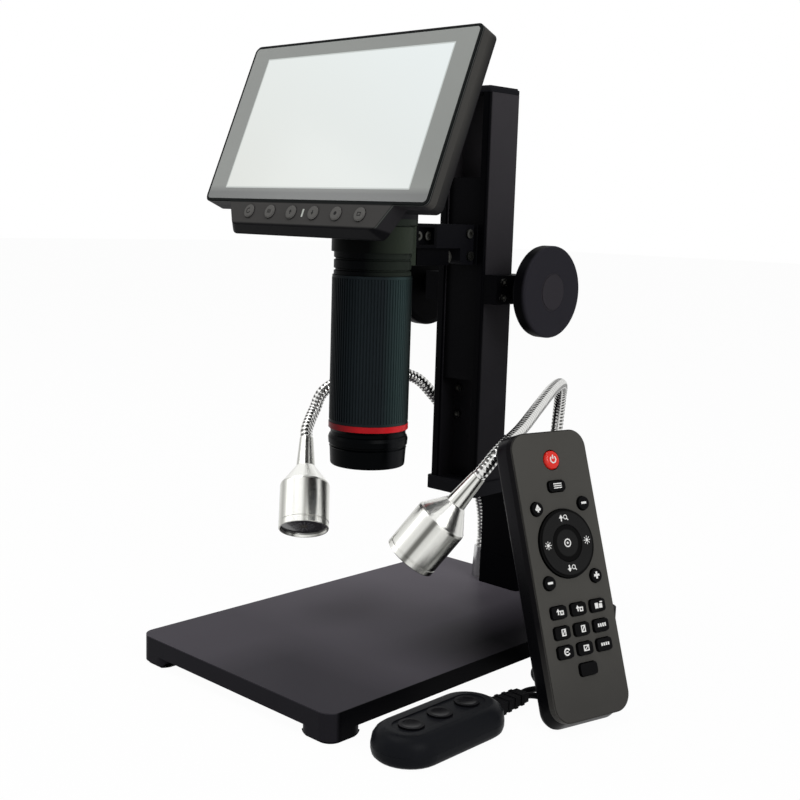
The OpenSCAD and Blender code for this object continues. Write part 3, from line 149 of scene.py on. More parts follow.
def smooth(points, steps):
    """Points on a smooth curve through the given ones, steps to each stretch."""
    last = len(points) - 1
    found = []
    for i in range(last):
        a, b, c, d = (points[max(i - 1, 0)], points[i], points[i + 1], points[min(i + 2, last)])
        for k in range(steps):
            t = k / steps
            found.append(0.5 * (2 * b + (c - a) * t + (2 * a - 5 * b + 4 * c - d) * t * t
                                + (3 * b - a - 3 * c + d) * t * t * t))
    return found + [points[last]]


def spaced(points, step):
    """The same line with its points an even step apart."""
    lengths = [0.0]
    for a, b in zip(points, points[1:]):
        lengths.append(lengths[-1] + (b - a).length)
    total = lengths[-1]
    count = max(2, round(total / step))
    found, i = [], 0
    for k in range(count + 1):
        want = total * k / count
        while i < len(points) - 2 and lengths[i + 1] < want:
            i += 1
        share = (want - lengths[i]) / max(lengths[i + 1] - lengths[i], 1e-12)
        found.append(points[i].lerp(points[i + 1], min(max(share, 0), 1)))
    return found


def tube(name, points, radius, thickness=None, rounding=5):
    """A round curve through the points; thickness gives each point's share of the radius."""
    curve = bpy.data.curves.new(name, "CURVE")
    curve.dimensions = "3D"
    curve.bevel_depth = radius
    curve.bevel_resolution = rounding
    curve.use_fill_caps = True
    spline = curve.splines.new("POLY")
    spline.points.add(len(points) - 1)
    for i, p in enumerate(points):
        spline.points[i].co = (*p, 1)
        spline.points[i].radius = thickness(i) if thickness else 1
    return linked(name, curve)


def as_mesh(piece, name):
    """The piece as a plain mesh object with smooth faces."""
    shown = piece.evaluated_get(bpy.context.evaluated_depsgraph_get())
    data = bpy.data.meshes.new_from_object(shown)
    data.name = name
    for face in data.polygons:
        face.use_smooth = True
    bpy.data.objects.remove(piece)
    return linked(name, data)


# ---- Cords ----

RELIEF_END = (85, 9.6, -8.5)        # between the two cords, where they leave the strain relief
CORD_GAP = 2.8
GROMMET_END = (66.5, 87, -4.2)
LAMP_ROUTE = [(83.9, 14, -8.2), (84.4, 18.5, -8.6), (83.4, 24.5, -10.4), (78, 30.5, -11.3), (71, 36, -11.4),
              (66.6, 42, -11.4), (64.3, 49, -11.4), (64, 58, -11.4), (65.2, 68, -11.2), (69.5, 76, -9.6),
              (72.6, 82, -6.6), (71.4, 86, -4.6)]
POWER_ROUTE = [(87.4, 15, -9.6), (91, 20, -11.3), (95.5, 27, -11.4), (98, 36, -11.4), (98.6, 44, -11.4)]
COIL_CENTRE = (84, 52)
COIL_R = 14
COIL_ROWS = COIL_COLUMNS = 3
COIL_STEPS = 36                     # points to each turn
COIL_TURNS = COIL_ROWS * COIL_COLUMNS - 0.5
TAIL = [                            # from the coil to the plug, over the coil's centre
    (-10.4, -3.75, -2.6), (-7.65, -6.5, -2.55), (-3.9, -7.5, -2.5), (-0.15, -6.5, -2.45), (2.6, -3.75, -2.3),
    (3.6, 0, -1.95), (4.35, 2.75, -1.4), (6.35, 4.76, -0.6), (9.1, 5.5, 0), (11.85, 4.76, 0.05),
    (13.9, 2.75, 0.05), (14.7, 0, 0.1), (15.3, -3.2, 0.2), (16.8, -6.4, 0.4), (17.7, -9.6, 0.6),
    (16.2, -13.2, 0.8), (12.5, -14.7, 1.2), (9.9, -14, 1.8), (8.2, -12.4, 2.5)]
IN_RELIEF = 3.8                     # how far each cord runs inside the strain relief
IN_GROMMET = 2.8
REST_GAP = 0.03                     # between a cord and the floor
SIDE_STEP = (0.6, 0.8)              # the part of a turn in which the coil goes to the next column
UP_STEP = (0.8, 1.0)                # the same for the next row


def ease(value, low, high):
    """0 below low, 1 above high, with a soft start and stop between."""
    t = min(max((value - low) / (high - low), 0.0), 1.0)
    return t * t * (3 - 2 * t)


def coil_points():
    """Turns side by side, then the next layer on them, wound from outside in and back."""
    x, y = COIL_CENTRE
    found = []
    for k in range(int(COIL_TURNS * COIL_STEPS) + 1):
        turn = k / COIL_STEPS
        row = int(turn) // COIL_COLUMNS
        column = int(turn) % COIL_COLUMNS
        part = turn - int(turn)
        if column < COIL_COLUMNS - 1:
            column += ease(part, *SIDE_STEP)
            height = row
        else:
            height = row + (ease(part, *UP_STEP) if row < COIL_ROWS - 1 else 0)
        if row % 2:
            column = COIL_COLUMNS - 1 - column
        r = COIL_R + ((COIL_COLUMNS - 1) / 2 - column) * CORD_D
        angle = 2 * math.pi * turn
        found.append(mm(x + r * math.cos(angle), y + r * math.sin(angle),
                        FLOOR_Z + CORD_D * (0.5 + height)))
    return found


def rest_on_floor(points):
    """Lifts the points of a cord that would sink into the floor."""
    for p in points:
        p.z = max(p.z, (FLOOR_Z + CORD_D / 2 + REST_GAP) * MM)


def make_cords():
    """The cord from the controller to the lamps, and the one to the plug with its coil."""
    x, y, z = RELIEF_END
    left = mm(x - CORD_GAP / 2, y, z)
    right = mm(x + CORD_GAP / 2, y, z)
    inside = mm(0, -IN_RELIEF, 0)
    lamp_points = smooth([left + inside, left] + [mm(*p) for p in LAMP_ROUTE]
                         + [mm(*GROMMET_END), mm(*GROMMET_END) - mm(IN_GROMMET, 0, 0)], steps=6)
    lamp_points = spaced(lamp_points, CORD_D * MM / 2)
    rest_on_floor(lamp_points)
    lamp = as_mesh(tube("lamp_lead_line", lamp_points, CORD_D * MM / 2), "lamp_lead")
    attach(lamp, "stand")
    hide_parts("lamp_cord")
    [tuple(p) for p in lamp_points]
    coil = coil_points()
    top = mm(*COIL_CENTRE, FLOOR_Z + COIL_ROWS * CORD_D + CORD_D / 2)
    tail = [top + mm(*p) for p in TAIL]
    way = smooth([right + inside, right] + [mm(*p) for p in POWER_ROUTE] + [coil[0]], steps=5)
    power_points = way[:-1] + coil + smooth([coil[-1]] + tail, steps=4)[1:]
    power_points = spaced(power_points, CORD_D * MM / 2)
    rest_on_floor(power_points)
    power = as_mesh(tube("power_lead_line", power_points, CORD_D * MM / 2), "power_lead")
    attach(power, "stand")
    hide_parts("power_cord", "power_coil")
    [tuple(p) for p in power_points]
    return lamp, power


lamp_lead, power_lead = make_cords()

# ---- Shader expressions ----


class Value:
    """A socket in a node tree. Python's operators on it add its Math nodes."""

    def __init__(self, tree, socket):
        self.tree = tree
        self.socket = socket

    def math(self, operation, *values):
        """The result of a Math node."""
        return self.tree.add("Math", {"operation": operation}, dict(enumerate(values)))

    def __add__(self, other):
        return self.math("ADD", self, other)

    def __radd__(self, other):
        return self.math("ADD", other, self)

    def __sub__(self, other):
        return self.math("SUBTRACT", self, other)

    def __rsub__(self, other):
        return self.math("SUBTRACT", other, self)

    def __mul__(self, other):
        return self.math("MULTIPLY", self, other)

    def __rmul__(self, other):
        return self.math("MULTIPLY", other, self)

    def __gt__(self, other):
        return self.math("GREATER_THAN", self, other)

    def __lt__(self, other):
        return self.math("LESS_THAN", self, other)

    def size(self):
        """The value without its sign."""
        return self.math("ABSOLUTE", self)

    def sine(self):
        """The sine of an angle in radians."""
        return self.math("SINE", self)

    def root(self):
        """The square root."""
        return self.math("SQRT", self)

    def most(self, other):
        """The larger of two values."""
        return self.math("MAXIMUM", self, other)

    def angle_over(self, other):
        """The angle of a point with this height and the other width, in radians."""
        return self.math("ARCTAN2", self, other)

    def ramp(self, low, high):
        """0 at low, 1 at high, straight between."""
        return self.tree.add("MapRange", {"clamp": True},
                             {"Value": self, "From Min": low, "From Max": high})

    def ramp_mm(self, low, high):
        """The same for a length, with its limits in millimetres."""
        return self.ramp(low * MM, high * MM)


def far_from_axis(a, b):
    """How far a point is from an axis, from its two parts across it."""
    return (a * a + b * b).root()


class Tree:
    """A node tree and the ways to add to it."""

    def __init__(self, nodes_and_links):
        self.nodes = nodes_and_links.nodes
        self.links = nodes_and_links.links

    def add(self, kind, settings=None, values=None, out=0):
        """Adds a node: its settings first, then its sockets' values or links.

        Out is the output that is wanted, or a tuple of several.
        """
        node = self.nodes.new("ShaderNode" + kind)
        for key, value in (settings or {}).items():
            if key == "stops":
                self.set_stops(node.color_ramp, value)
            else:
                setattr(node, key, value)
        for key, value in (values or {}).items():
            self.put(node.inputs[key], value)
        if isinstance(out, tuple):
            return [Value(self, node.outputs[key]) for key in out]
        return Value(self, node.outputs[out])

    def set_stops(self, ramp, stops):
        """Gives a colour ramp its places and colours."""
        while len(ramp.elements) < len(stops):
            ramp.elements.new(1)
        for element, (place, color) in zip(ramp.elements, stops):
            element.position = place
            element.color = (*color, 1)

    def put(self, socket, value):
        """Links a value to a socket, or sets a plain number or colour on it."""
        if isinstance(value, Value):
            self.links.new(value.socket, socket)
        elif isinstance(value, tuple) and len(value) == 3 and socket.type == "RGBA":
            socket.default_value = (*value, 1)
        else:
            socket.default_value = value

    def mix(self, share, a, b):
        """Colour a where the share is 0, b where it is 1."""
        return self.add("Mix", {"data_type": "RGBA"}, {0: share, 6: a, 7: b}, out=2)

    def place(self, location=(0, 0, 0), rotation=(0, 0, 0)):
        """Object coordinates, moved so that a pattern starts at location and turns with it."""
        spot = self.add("TexCoord", out="Object")
        return self.add("Mapping", {"vector_type": "TEXTURE"},
                        {"Vector": spot, "Location": location, "Rotation": rotation})

    def parts(self, location=(0, 0, 0), rotation=(0, 0, 0)):
        """The x, y and z of such coordinates."""
        return self.add("SeparateXYZ", None, {0: self.place(location, rotation)}, out=("X", "Y", "Z"))

    def noise(self, vector, scale, detail=2.0):
        """Soft noise, scale patches to the metre."""
        return self.add("TexNoise", None, {"Vector": vector, "Scale": scale, "Detail": detail})

    def seen(self):
        """1 for a ray from the camera, straight or by way of a mirror or glass; 0 for light."""
        camera, mirrored, through = self.add("LightPath", out=("Is Camera Ray", "Is Glossy Ray",
                                                               "Is Transmission Ray"))
        return camera.most(through).most(mirrored)


class Shader(Tree):
    """A material and its surface node."""

    def __init__(self, name):
        self.material = bpy.data.materials.new(name)
        self.material.use_nodes = True
        super().__init__(self.material.node_tree)
        self.surface = self.nodes["Principled BSDF"]

    def set(self, **values):
        """Sets or links the surface's sockets, named with _ for a space."""
        for key, value in values.items():
            self.put(self.surface.inputs[key.replace("_", " ")], value)

    def bump(self, height, strength, distance):
        """Relief of the given height, distance millimetres where it is 1."""
        self.set(Normal=self.add("Bump", None, {"Strength": strength, "Distance": distance * MM,
                                                "Height": height}))


def tone(red, green, blue):
    """A screen colour from 0 to 255 as the shader's linear colour."""
    return tuple(c / 255 / 12.92 if c / 255 <= 0.04045 else ((c / 255 + 0.055) / 1.055) ** 2.4
                 for c in (red, green, blue))


LOW_IOR = 1.10                      # keeps dark finishes dark where they face pale surroundings
CLOUD_SCALE = 28.0                  # a coat's mottling, in patches to the metre
GRAIN_GLOSS = 0.12                  # how much the grain changes the roughness
CLOUD_GLOSS = 0.06                  # and the mottling
GRAIN_RELIEF = 0.35
HEAD_AT, HEAD_TURN = tuple(SCREEN_CENTRE), (-HEAD_TILT, 0, 0)
REMOTE_AT, REMOTE_TURN = tuple(REMOTE_PLACE), (-REMOTE_LEAN, 0, REMOTE_YAW)
ROUND_TURN = (0, 0, math.radians(45))


def coat(name, color, roughness, metallic=0.0, grain=900.0, depth=0.02, spread=0.10, specular=0.3,
         clear=0.0, painted_light=()):
    """A moulded, painted or plated finish: fine grain, slight mottling and uneven gloss.

    Grain is in patches to the metre, depth its relief in millimetres, spread the strength of
    the mottling, clear a clear coat on top. Each entry of painted light is a colour of painted
    light or shade and the function that gives its share over the piece.
    """
    s = Shader(name)
    spot = s.place()
    cloud = s.noise(spot, CLOUD_SCALE, 3.0)
    fine = s.noise(spot, grain)
    for other, share in painted_light:
        color = s.mix(share(s), color, other)
    mottle = (cloud - 0.5) * (2 * spread) + 1
    s.set(Base_Color=s.add("VectorMath", {"operation": "SCALE"}, {0: color, 3: mottle}),
          Roughness=roughness + (fine - 0.5) * GRAIN_GLOSS + (cloud - 0.5) * CLOUD_GLOSS,
          Metallic=metallic, Specular_IOR_Level=specular, IOR=LOW_IOR, Coat_Weight=clear)
    s.bump(fine, GRAIN_RELIEF, depth)
    return s


def across(axis, low, high, location=(0, 0, 0), rotation=(0, 0, 0), mirrored=False):
    """The share that rises from 0 at low to 1 at high along an axis, in millimetres.

    Mirrored, it does so to both sides alike.
    """
    def share(s):
        part = s.parts(location, rotation)[axis]
        return (part.size() if mirrored else part).ramp_mm(low, high)
    return share


def around_keys(low, high):
    """The share that rises with the radius round the middle of the remote's ring key."""
    def share(s):
        x, _, z = s.parts(REMOTE_AT, REMOTE_TURN)
        return far_from_axis(x, z).ramp_mm(low, high)
    return share


def both(*shares):
    """The share where all the given ones meet."""
    def share(s):
        found = shares[0](s)
        for other in shares[1:]:
            found = found * other(s)
        return found
    return share


def on_screen(axis, low, high):
    """The share along an axis of the screen's own frame."""
    return across(axis, low, high, HEAD_AT, HEAD_TURN)


def on_remote(axis, low, high):
    """The share along an axis of the remote's own frame."""
    return across(axis, low, high, REMOTE_AT, REMOTE_TURN)


def round_body(low, high):
    """The share across a round piece, from its front left to its back right."""
    return across(0, low, high, rotation=ROUND_TURN)


# ---- Finishes ----

PLATE_SIDE = (60.9, 61.4)           # where the base plate's side starts to face right, and its painted shade starts
SCREEN_SIDE = (64.0, 66.6)          # where the screen's side does

# Painted light on the base plate: its top paler than its sides, a painted highlight to the left and back,
# painted shade to the front right and the back right, and its right side nearly black in painted shade.
plate_top = across(2, -0.5, -0.1)
base_paint = coat("base_paint", tone(31, 30, 34), 0.42, grain=1400, depth=0.015,
                  painted_light=[(tone(67, 64, 70), plate_top),
                          (tone(96, 92, 99), both(plate_top, across(0, 34, -6), across(1, -30, 60))),
                          (tone(52, 50, 55), both(plate_top, across(0, -20, 5), across(1, -25, -50))),
                          (tone(16, 15, 18), both(plate_top, across(0, 18, 48), across(1, -20, 34))),
                          (tone(5, 5, 7), across(0, *PLATE_SIDE))])
post_paint = coat("post_paint", tone(5, 5, 7), 0.45, grain=1400)
cover_paint = coat("cover_paint", tone(40, 40, 42), 0.6)
pad_rubber = coat("pad_rubber", tone(18, 18, 20), 0.8, depth=0.05)
# Painted light on the column: paler towards its top, with painted shade on its front.
anodised = coat("anodised_black", tone(30, 29, 32), 0.38, grain=2200, depth=0.008,
                painted_light=[(tone(56, 54, 57), across(2, 100, 245)), (tone(4, 4, 6), across(1, 60.5, 59.5))])
cap_plastic = coat("cap_plastic", tone(24, 24, 27), 0.45)
block_paint = coat("block_black", tone(6, 6, 8), 0.5)
bush_brass = coat("bush_brass", tone(190, 150, 80), 0.3, metallic=1.0)
bright_screw = coat("bright_screw", tone(120, 120, 116), 0.3, metallic=1.0, spread=0.05)
dark_screw = coat("dark_screw", tone(74, 74, 71), 0.35, metallic=1.0, spread=0.05)
slider_metal = coat("slider_metal", tone(10, 10, 12), 0.4)
arm_paint = coat("arm_grey", tone(15, 15, 18), 0.4)
# painted light: the holder ring paler on its right, its left dark in painted shade
ring_paint = coat("ring_olive", tone(5, 6, 6), 0.36, spread=0.06,
                  painted_light=[(tone(48, 54, 46), round_body(-2, 14))])
yoke_paint = coat("yoke_black", tone(7, 7, 9), 0.4)
# painted light: the barrel paler on its right, its left dark in painted shade
barrel_paint = coat("barrel_black", tone(5, 6, 7), 0.35,
                    painted_light=[(tone(38, 43, 38), round_body(-4, 12))])
# painted light across the focus ring: dark in painted shade at the left, paler in the middle, a painted
# highlight to the right and darker again at its right edge
grip_anodised = coat("grip_green_black", tone(8, 13, 16), 0.36, grain=2000, depth=0.01, specular=0.5,
                     painted_light=[(tone(27, 33, 36), round_body(-15, -5)),
                             (tone(46, 60, 60), round_body(5, 12)),
                             (tone(18, 24, 24), round_body(14, 17))])
# painted light: the red ring darker at its left, brighter across the middle and a painted highlight to the
# right
accent_red = coat("accent_red", tone(96, 8, 16), 0.25, clear=0.12, spread=0.04,
                  painted_light=[(tone(168, 18, 26), round_body(-14, -4)),
                          (tone(206, 40, 46), round_body(4, 12))])
# a painted highlight in a band on the nose's right
nose_paint = coat("nose_black", tone(1, 2, 3), 0.3, specular=0.45,
                  painted_light=[(tone(22, 23, 25), both(round_body(8, 11), round_body(17, 14)))])
# painted light: the knobs' outer faces paler, their round sides dark in painted shade
knob_paint = coat("knob_black", tone(5, 5, 7), 0.46, grain=1500,
                  painted_light=[(tone(37, 36, 41), across(0, 39.2, 40.8, mirrored=True))])
knob_plate = coat("knob_plate", tone(46, 44, 48), 0.35)
shaft_steel = coat("shaft_steel", tone(180, 180, 182), 0.25, metallic=1.0)
# Painted light on the screen's housing, in bands by depth: a pale band of painted highlight along the rounded
# front edge between darker bands of painted shade, the right side paler, the key bar's front paler than its
# sides, and painted shade on the bar's lower corners.
lit_right_side = on_screen(0, *SCREEN_SIDE)
housing = coat("housing_grey", tone(38, 37, 39), 0.42, grain=1100, depth=0.03,
               painted_light=[(tone(64, 63, 61), both(lit_right_side, on_screen(1, 0.95, 1.15))),
                       (tone(38, 40, 39), on_screen(1, 0.95, 0.75)),
                       (tone(80, 82, 80), on_screen(1, 0.60, 0.50)),
                       (tone(24, 26, 26), on_screen(1, 0.40, 0.30)),
                       (tone(66, 65, 64), both(on_screen(1, 0.35, 0.05),
                                               on_screen(2, BAR_TOP, BAR_TOP - 0.5))),
                       (tone(14, 14, 16), on_screen(2, BAR_END + 0.4, BAR_END - 0.4))])
# painted light: part of the rear shell's right side paler
shell = coat("shell_black", tone(26, 26, 28), 0.42, grain=1100, depth=0.03,
             painted_light=[(tone(62, 61, 59), both(lit_right_side, on_screen(1, 9.5, 4.6),
                                             on_screen(2, -60, 0)))])
board_mask = coat("board_green", tone(30, 92, 60), 0.35)
# painted shade on the keys' sides, behind their paler faces
button_plastic = coat("button_grey", tone(92, 91, 89), 0.3,
                      painted_light=[(tone(22, 22, 24), on_screen(1, -0.35, -0.05))])
chrome = coat("gooseneck_chrome", tone(188, 188, 188), 0.16, metallic=1.0, spread=0.03)
controller_plastic = coat("controller_black", tone(20, 21, 24), 0.36, depth=0.03, specular=0.5)
button_rubber = coat("button_rubber", tone(12, 12, 15), 0.3, specular=0.6)
cord_rubber = coat("cord_rubber", tone(14, 14, 16), 0.45)
plug_plastic = coat("plug_black", tone(20, 20, 22), 0.42)
# painted shade: the front shell's sides dark behind its grey face, and the face darker towards its bottom
remote_plastic = coat("remote_grey", tone(20, 19, 21), 0.42, grain=1200, depth=0.025,
                      painted_light=[(tone(72, 71, 68), on_remote(1, 0.7, 0.3)),
                              (tone(63, 62, 60), on_remote(2, -30, -64))])
# painted shade: the back shell darker towards the bottom
remote_shell = coat("remote_black", tone(26, 25, 28), 0.3, specular=0.6,
                    painted_light=[(tone(7, 7, 9), across(2, 68, 40))])
key_rubber = coat("key_black", tone(9, 9, 10), 0.3, specular=0.7)
# painted shade on the ring key's side, outside its face
key_dark = coat("key_dark", tone(30, 30, 30), 0.3, specular=0.6,
                painted_light=[(tone(8, 8, 8), around_keys(12.6, 13.0))])
# painted shade on the middle key's side, outside its face
key_ok = coat("key_ok", tone(30, 30, 30), 0.3, specular=0.6,
              painted_light=[(tone(7, 7, 7), around_keys(5.2, 5.6))])
key_red = coat("key_red", tone(214, 36, 24), 0.22, clear=0.5, spread=0.05)
print_white = coat("print_white", tone(226, 226, 224), 0.55, spread=0.03)
print_grey = coat("print_grey", tone(44, 44, 44), 0.5, spread=0.03)
status_clear = coat("status_clear", tone(186, 190, 184), 0.3, spread=0.05)

LIT_LOW = tone(222, 224, 219)       # the lit screen at its lower left
LIT_HIGH = tone(236, 243, 244)      # and at its upper right
SCREEN_GLOW = 0.8                   # emission strength of the screen
GLASS_GLOW = 0.86                   # and of what shows through its cover
RIM_FOOT = (-30, -33)               # painted shade darkens the printed rim between these heights
EDGE_LINE = 0.6                     # width of the darker line round the screen


def sheen(s, x, z):
    """The lit screen's colour, which rises softly to its upper right."""
    rise = (x * (1 / (LCD_W * MM)) + z * (1 / (LCD_H * MM))).ramp(-1.0, 1.0)
    return s.mix(rise, LIT_LOW, LIT_HIGH)


def screen_finish():
    """A pale lit screen with a soft sheen."""
    s = Shader("screen_pale")
    x, _, z = s.parts(HEAD_AT, HEAD_TURN)
    cloud = s.noise(s.place(), 14.0, 1.0)
    lit = s.mix(cloud * 0.25, sheen(s, x, z), tone(226, 232, 228))
    s.set(Base_Color=s.mix(0.85, lit, (0, 0, 0)), Roughness=0.3 + cloud * 0.05, Emission_Color=lit,
          Emission_Strength=SCREEN_GLOW)
    return s


def bezel_finish():
    """Cover glass: a grey printed rim round the window over the screen, with painted shade at the rim's foot.
    """
    s = Shader("bezel_grey")
    x, _, z = s.parts(HEAD_AT, HEAD_TURN)
    half_w, half_h = LCD_W / 2, LCD_H / 2
    inside = (x.size() < half_w * MM) * (z.size() < half_h * MM)
    edge = (x.size() > (half_w - EDGE_LINE) * MM).most(z.size() > (half_h - EDGE_LINE) * MM)
    cloud = s.noise(s.place(), 20.0)
    rim = s.mix(cloud, tone(136, 139, 136), tone(144, 147, 143))
    # painted shade at the foot of the rim
    rim = s.mix(z.ramp_mm(*RIM_FOOT), rim, tone(112, 114, 113))
    lit = s.mix(cloud * 0.3, sheen(s, x, z), tone(228, 233, 229))
    lit = s.mix(edge * 0.8, lit, tone(184, 190, 187))
    s.set(Base_Color=s.mix(inside, rim, tone(70, 72, 70)), Roughness=0.12 + cloud * 0.03,
          Emission_Color=s.mix(inside, (0, 0, 0), lit), Emission_Strength=GLASS_GLOW)
    return s


def lens_finish():
    """Dark glass under a clear coat, for the front of the lens."""
    s = Shader("front_lens")
    cloud = s.noise(s.place(), 60.0, 1.0)
    color = tone(120, 130, 150)
    s.set(Base_Color=s.mix(cloud, color, tuple(c * 0.9 for c in color)), Roughness=0.05 + cloud * 0.02,
          Transmission_Weight=0.6, Coat_Weight=1.0)
    return s


CONE_FOOT = (-10.9, -11.4)          # a painted highlight on a lamp's cone starts here, along the lamp
CONE_END = (-20.8, -20.3)
# the mid grey that mottles the painted reflections
REFLECTION_GREY = tone(205, 205, 200)
FACETS = 14                         # of the reflector
LINES_ROUND = 4                     # painted dark reflections, in lines along a gooseneck
LIGHT_R = (2.3, 2.1)                # radii of a lamp's front, each over its soft edge
BOWL_R = (5.1, 5.4)
STEP_R = (8.6, 8.9)


def lamp_parts(s, i):
    """A point's x, y and z in a lamp's own frame, with z along the lamp."""
    turn = LAMP_AXES[i].to_track_quat("Z", "Y").to_euler()
    return s.parts(LAMP_MIDS[i] * MM, turn)


def aluminium_with_painted_reflections(i):
    """Satin metal with painted reflections, soft bright and dark streaks along the lamp as a turned face
    mirrors a studio, and a painted highlight on its cone.
    """
    s = Shader("lamp_aluminium_" + SIDES[i])
    x, y, z = lamp_parts(s, i)
    cone_highlight = z.ramp_mm(*CONE_FOOT) * z.ramp_mm(*CONE_END)
    round_about = y.angle_over(x) * (0.5 / math.pi) + 0.5
    stops = [(degrees / 360 + 0.5, tone(shade, shade, shade - 5)) for degrees, shade in PAINTED_REFLECTIONS[i]]
    # painted reflections: a grey for each angle round the lamp
    painted_reflection = s.add("ValToRGB", {"stops": stops}, {0: round_about})
    spot = s.place()
    fine = s.noise(spot, 700.0, 3.0)
    cloud = s.noise(spot, 45.0)
    shade = s.mix(cloud * 0.3, painted_reflection, REFLECTION_GREY)
    # the cone paler: painted highlight
    s.set(Base_Color=s.mix(cone_highlight * 0.6, shade, tone(246, 246, 242)), Metallic=1.0,
          Roughness=0.24 + (fine - 0.5) * 0.12)
    s.bump(fine, 0.2, 0.01)
    return s


def wound_chrome():
    """Bright wire wound into a tube, with painted dark reflections in lines along it and painted shade
    between the turns.
    """
    s = Shader("gooseneck_wound")
    crest = s.add("Attribute", {"attribute_name": "crest"}, out="Fac")
    about = s.add("Attribute", {"attribute_name": "about"}, out="Fac")
    # painted dark reflections in lines along the tube, broken at the crests of the turns
    painted_reflection_lines = (about * (2 * math.pi * LINES_ROUND)).sine().ramp(0.1, 0.6) * crest.ramp(0.95, 0.6)
    fine = s.noise(s.place(), 500.0)
    bright = s.mix(fine, tone(214, 214, 212), tone(234, 234, 231))
    shade = s.mix(painted_reflection_lines * 0.9, bright, tone(46, 45, 44))
    # painted shade in the grooves between the turns
    s.set(Base_Color=s.mix(crest.ramp(0.6, 0.1) * 0.35, shade, tone(60, 59, 58)), Metallic=1.0,
          Roughness=0.2 + (fine - 0.5) * 0.1)
    return s


def lamp_window(i):
    """A clear front over a dark reflector with its facets painted as light and dark reflections, and a small
    light in its middle.
    """
    s = Shader("lamp_window_" + SIDES[i])
    x, y, _ = lamp_parts(s, i)
    r = far_from_axis(x, y)
    # painted reflections: facets alternately light and dark round the lamp
    facet_reflections = (y.angle_over(x) * FACETS).sine().ramp(-0.4, 0.9)
    cloud = s.noise(s.place(), 120.0)
    bowl = s.mix(facet_reflections, tone(26, 26, 29), tone(96, 97, 100))
    bowl = s.mix(cloud * 0.35, bowl, tone(40, 40, 44))
    color = s.mix(r.ramp_mm(*BOWL_R), bowl, tone(30, 30, 33))
    color = s.mix(r.ramp_mm(*STEP_R), color, tone(72, 72, 74))
    color = s.mix(r.ramp_mm(*LIGHT_R), color, tone(70, 66, 52))
    s.set(Base_Color=color, Roughness=0.12 + cloud * 0.06, Coat_Weight=0.3)
    return s


lamp_metals = [aluminium_with_painted_reflections(i) for i in (0, 1)]
lamp_windows = [lamp_window(i) for i in (0, 1)]
chrome_wound = wound_chrome()
screen_pale = screen_finish()
bezel_glass = bezel_finish()
front_lens = lens_finish()

FINISH_OF = {
    base_paint: ["base_plate"],
    cover_paint: ["base_cover"],
    pad_rubber: ["feet", "base_grommet"],
    post_paint: ["pedestal"],
    anodised: ["column"],
    cap_plastic: ["column_caps"],
    block_paint: ["bearing_block"],
    bush_brass: ["shaft_bushes"],
    bright_screw: ["stand_screws"],
    dark_screw: ["carriage_screws"],
    chrome: ["gooseneck_left", "gooseneck_right", "gooseneck_ferrules"],
    slider_metal: ["slider"],
    arm_paint: ["carriage_arm"],
    ring_paint: ["holder_ring"],
    yoke_paint: ["clamp_yoke"],
    barrel_paint: ["barrel_tube"],
    grip_anodised: ["focus_ring"],
    accent_red: ["accent_ring"],
    nose_paint: ["lens_nose"],
    front_lens: ["lens_glass"],
    knob_paint: ["focus_knobs"],
    knob_plate: ["knob_caps"],
    shaft_steel: ["focus_shaft"],
    housing: ["front_housing"],
    shell: ["rear_housing", "camera_housing"],
    bezel_glass: ["cover_glass"],
    screen_pale: ["lcd_panel"],
    board_mask: ["main_board"],
    button_plastic: ["screen_button_%d" % i for i in range(1, 7)],
    lamp_metals[0]: ["lamp_left_head"],
    lamp_metals[1]: ["lamp_right_head"],
    lamp_windows[0]: ["lamp_left_lens"],
    lamp_windows[1]: ["lamp_right_lens"],
    controller_plastic: ["controller_top", "controller_base"],
    button_rubber: ["controller_button_%d" % i for i in range(1, 4)],
    cord_rubber: ["strain_relief", "lamp_cord", "power_cord", "power_coil"],
    plug_plastic: ["usb_plug"],
    remote_plastic: ["remote_front"],
    remote_shell: ["remote_back", "battery_door"],
    key_rubber: ["remote_keypad", "remote_menu_key"],
    key_dark: ["remote_ring_key"],
    key_ok: ["remote_ok_key"],
    key_red: ["remote_power_key"],
}


def paint(piece, finish):
    """Gives a piece one finish."""
    piece.data.materials.clear()
    piece.data.materials.append(finish.material)


for finish, names in FINISH_OF.items():
    for name in names:
        paint(nodes[name], finish)
paint(lamp_lead, cord_rubber)
paint(power_lead, cord_rubber)

# ---- Goosenecks ----

GOOSENECK_R = 3.0
WIND_PITCH = 1.9                    # from one turn of the winding to the next
WIND_STEPS = 8                      # points to each turn
WIND_DEPTH = 0.06                   # of the grooves, as a share of the radius
WIND_ROUND = 0.6                    # below 1, the turns have broad tops and narrow grooves
INTO_LAMP = 5                       # the straight end of each tube before its lamp
FERRULE_H = 16
ROOTS = [Vector((-18.5, 106, 0)), Vector((18.5, 106, 0))]
GOOSENECK_ROUTES = [
    [(-18.5, 106.5, 24), (-19.8, 104.5, 42), (-24, 92, 75), (-31, 75, 99),
     (-37.5, 66, 107.3), (-46.5, 47, 110.5), (-55.5, 26.6, 101.7), (-58, 20.7, 91)],
    [(19.3, 108.5, 30), (20, 111.5, 58), (21.2, 112.8, 86), (24.5, 109.5, 99.5),
     (30, 102, 107.5), (38, 84.5, 107.8), (46, 62.5, 101.8), (54, 40.5, 95.5), (59, 21, 90)]]


def wave(k):
    """How high a point is on the winding, from 0 in a groove to 1 on a turn."""
    return abs(math.sin(math.pi * k / WIND_STEPS))


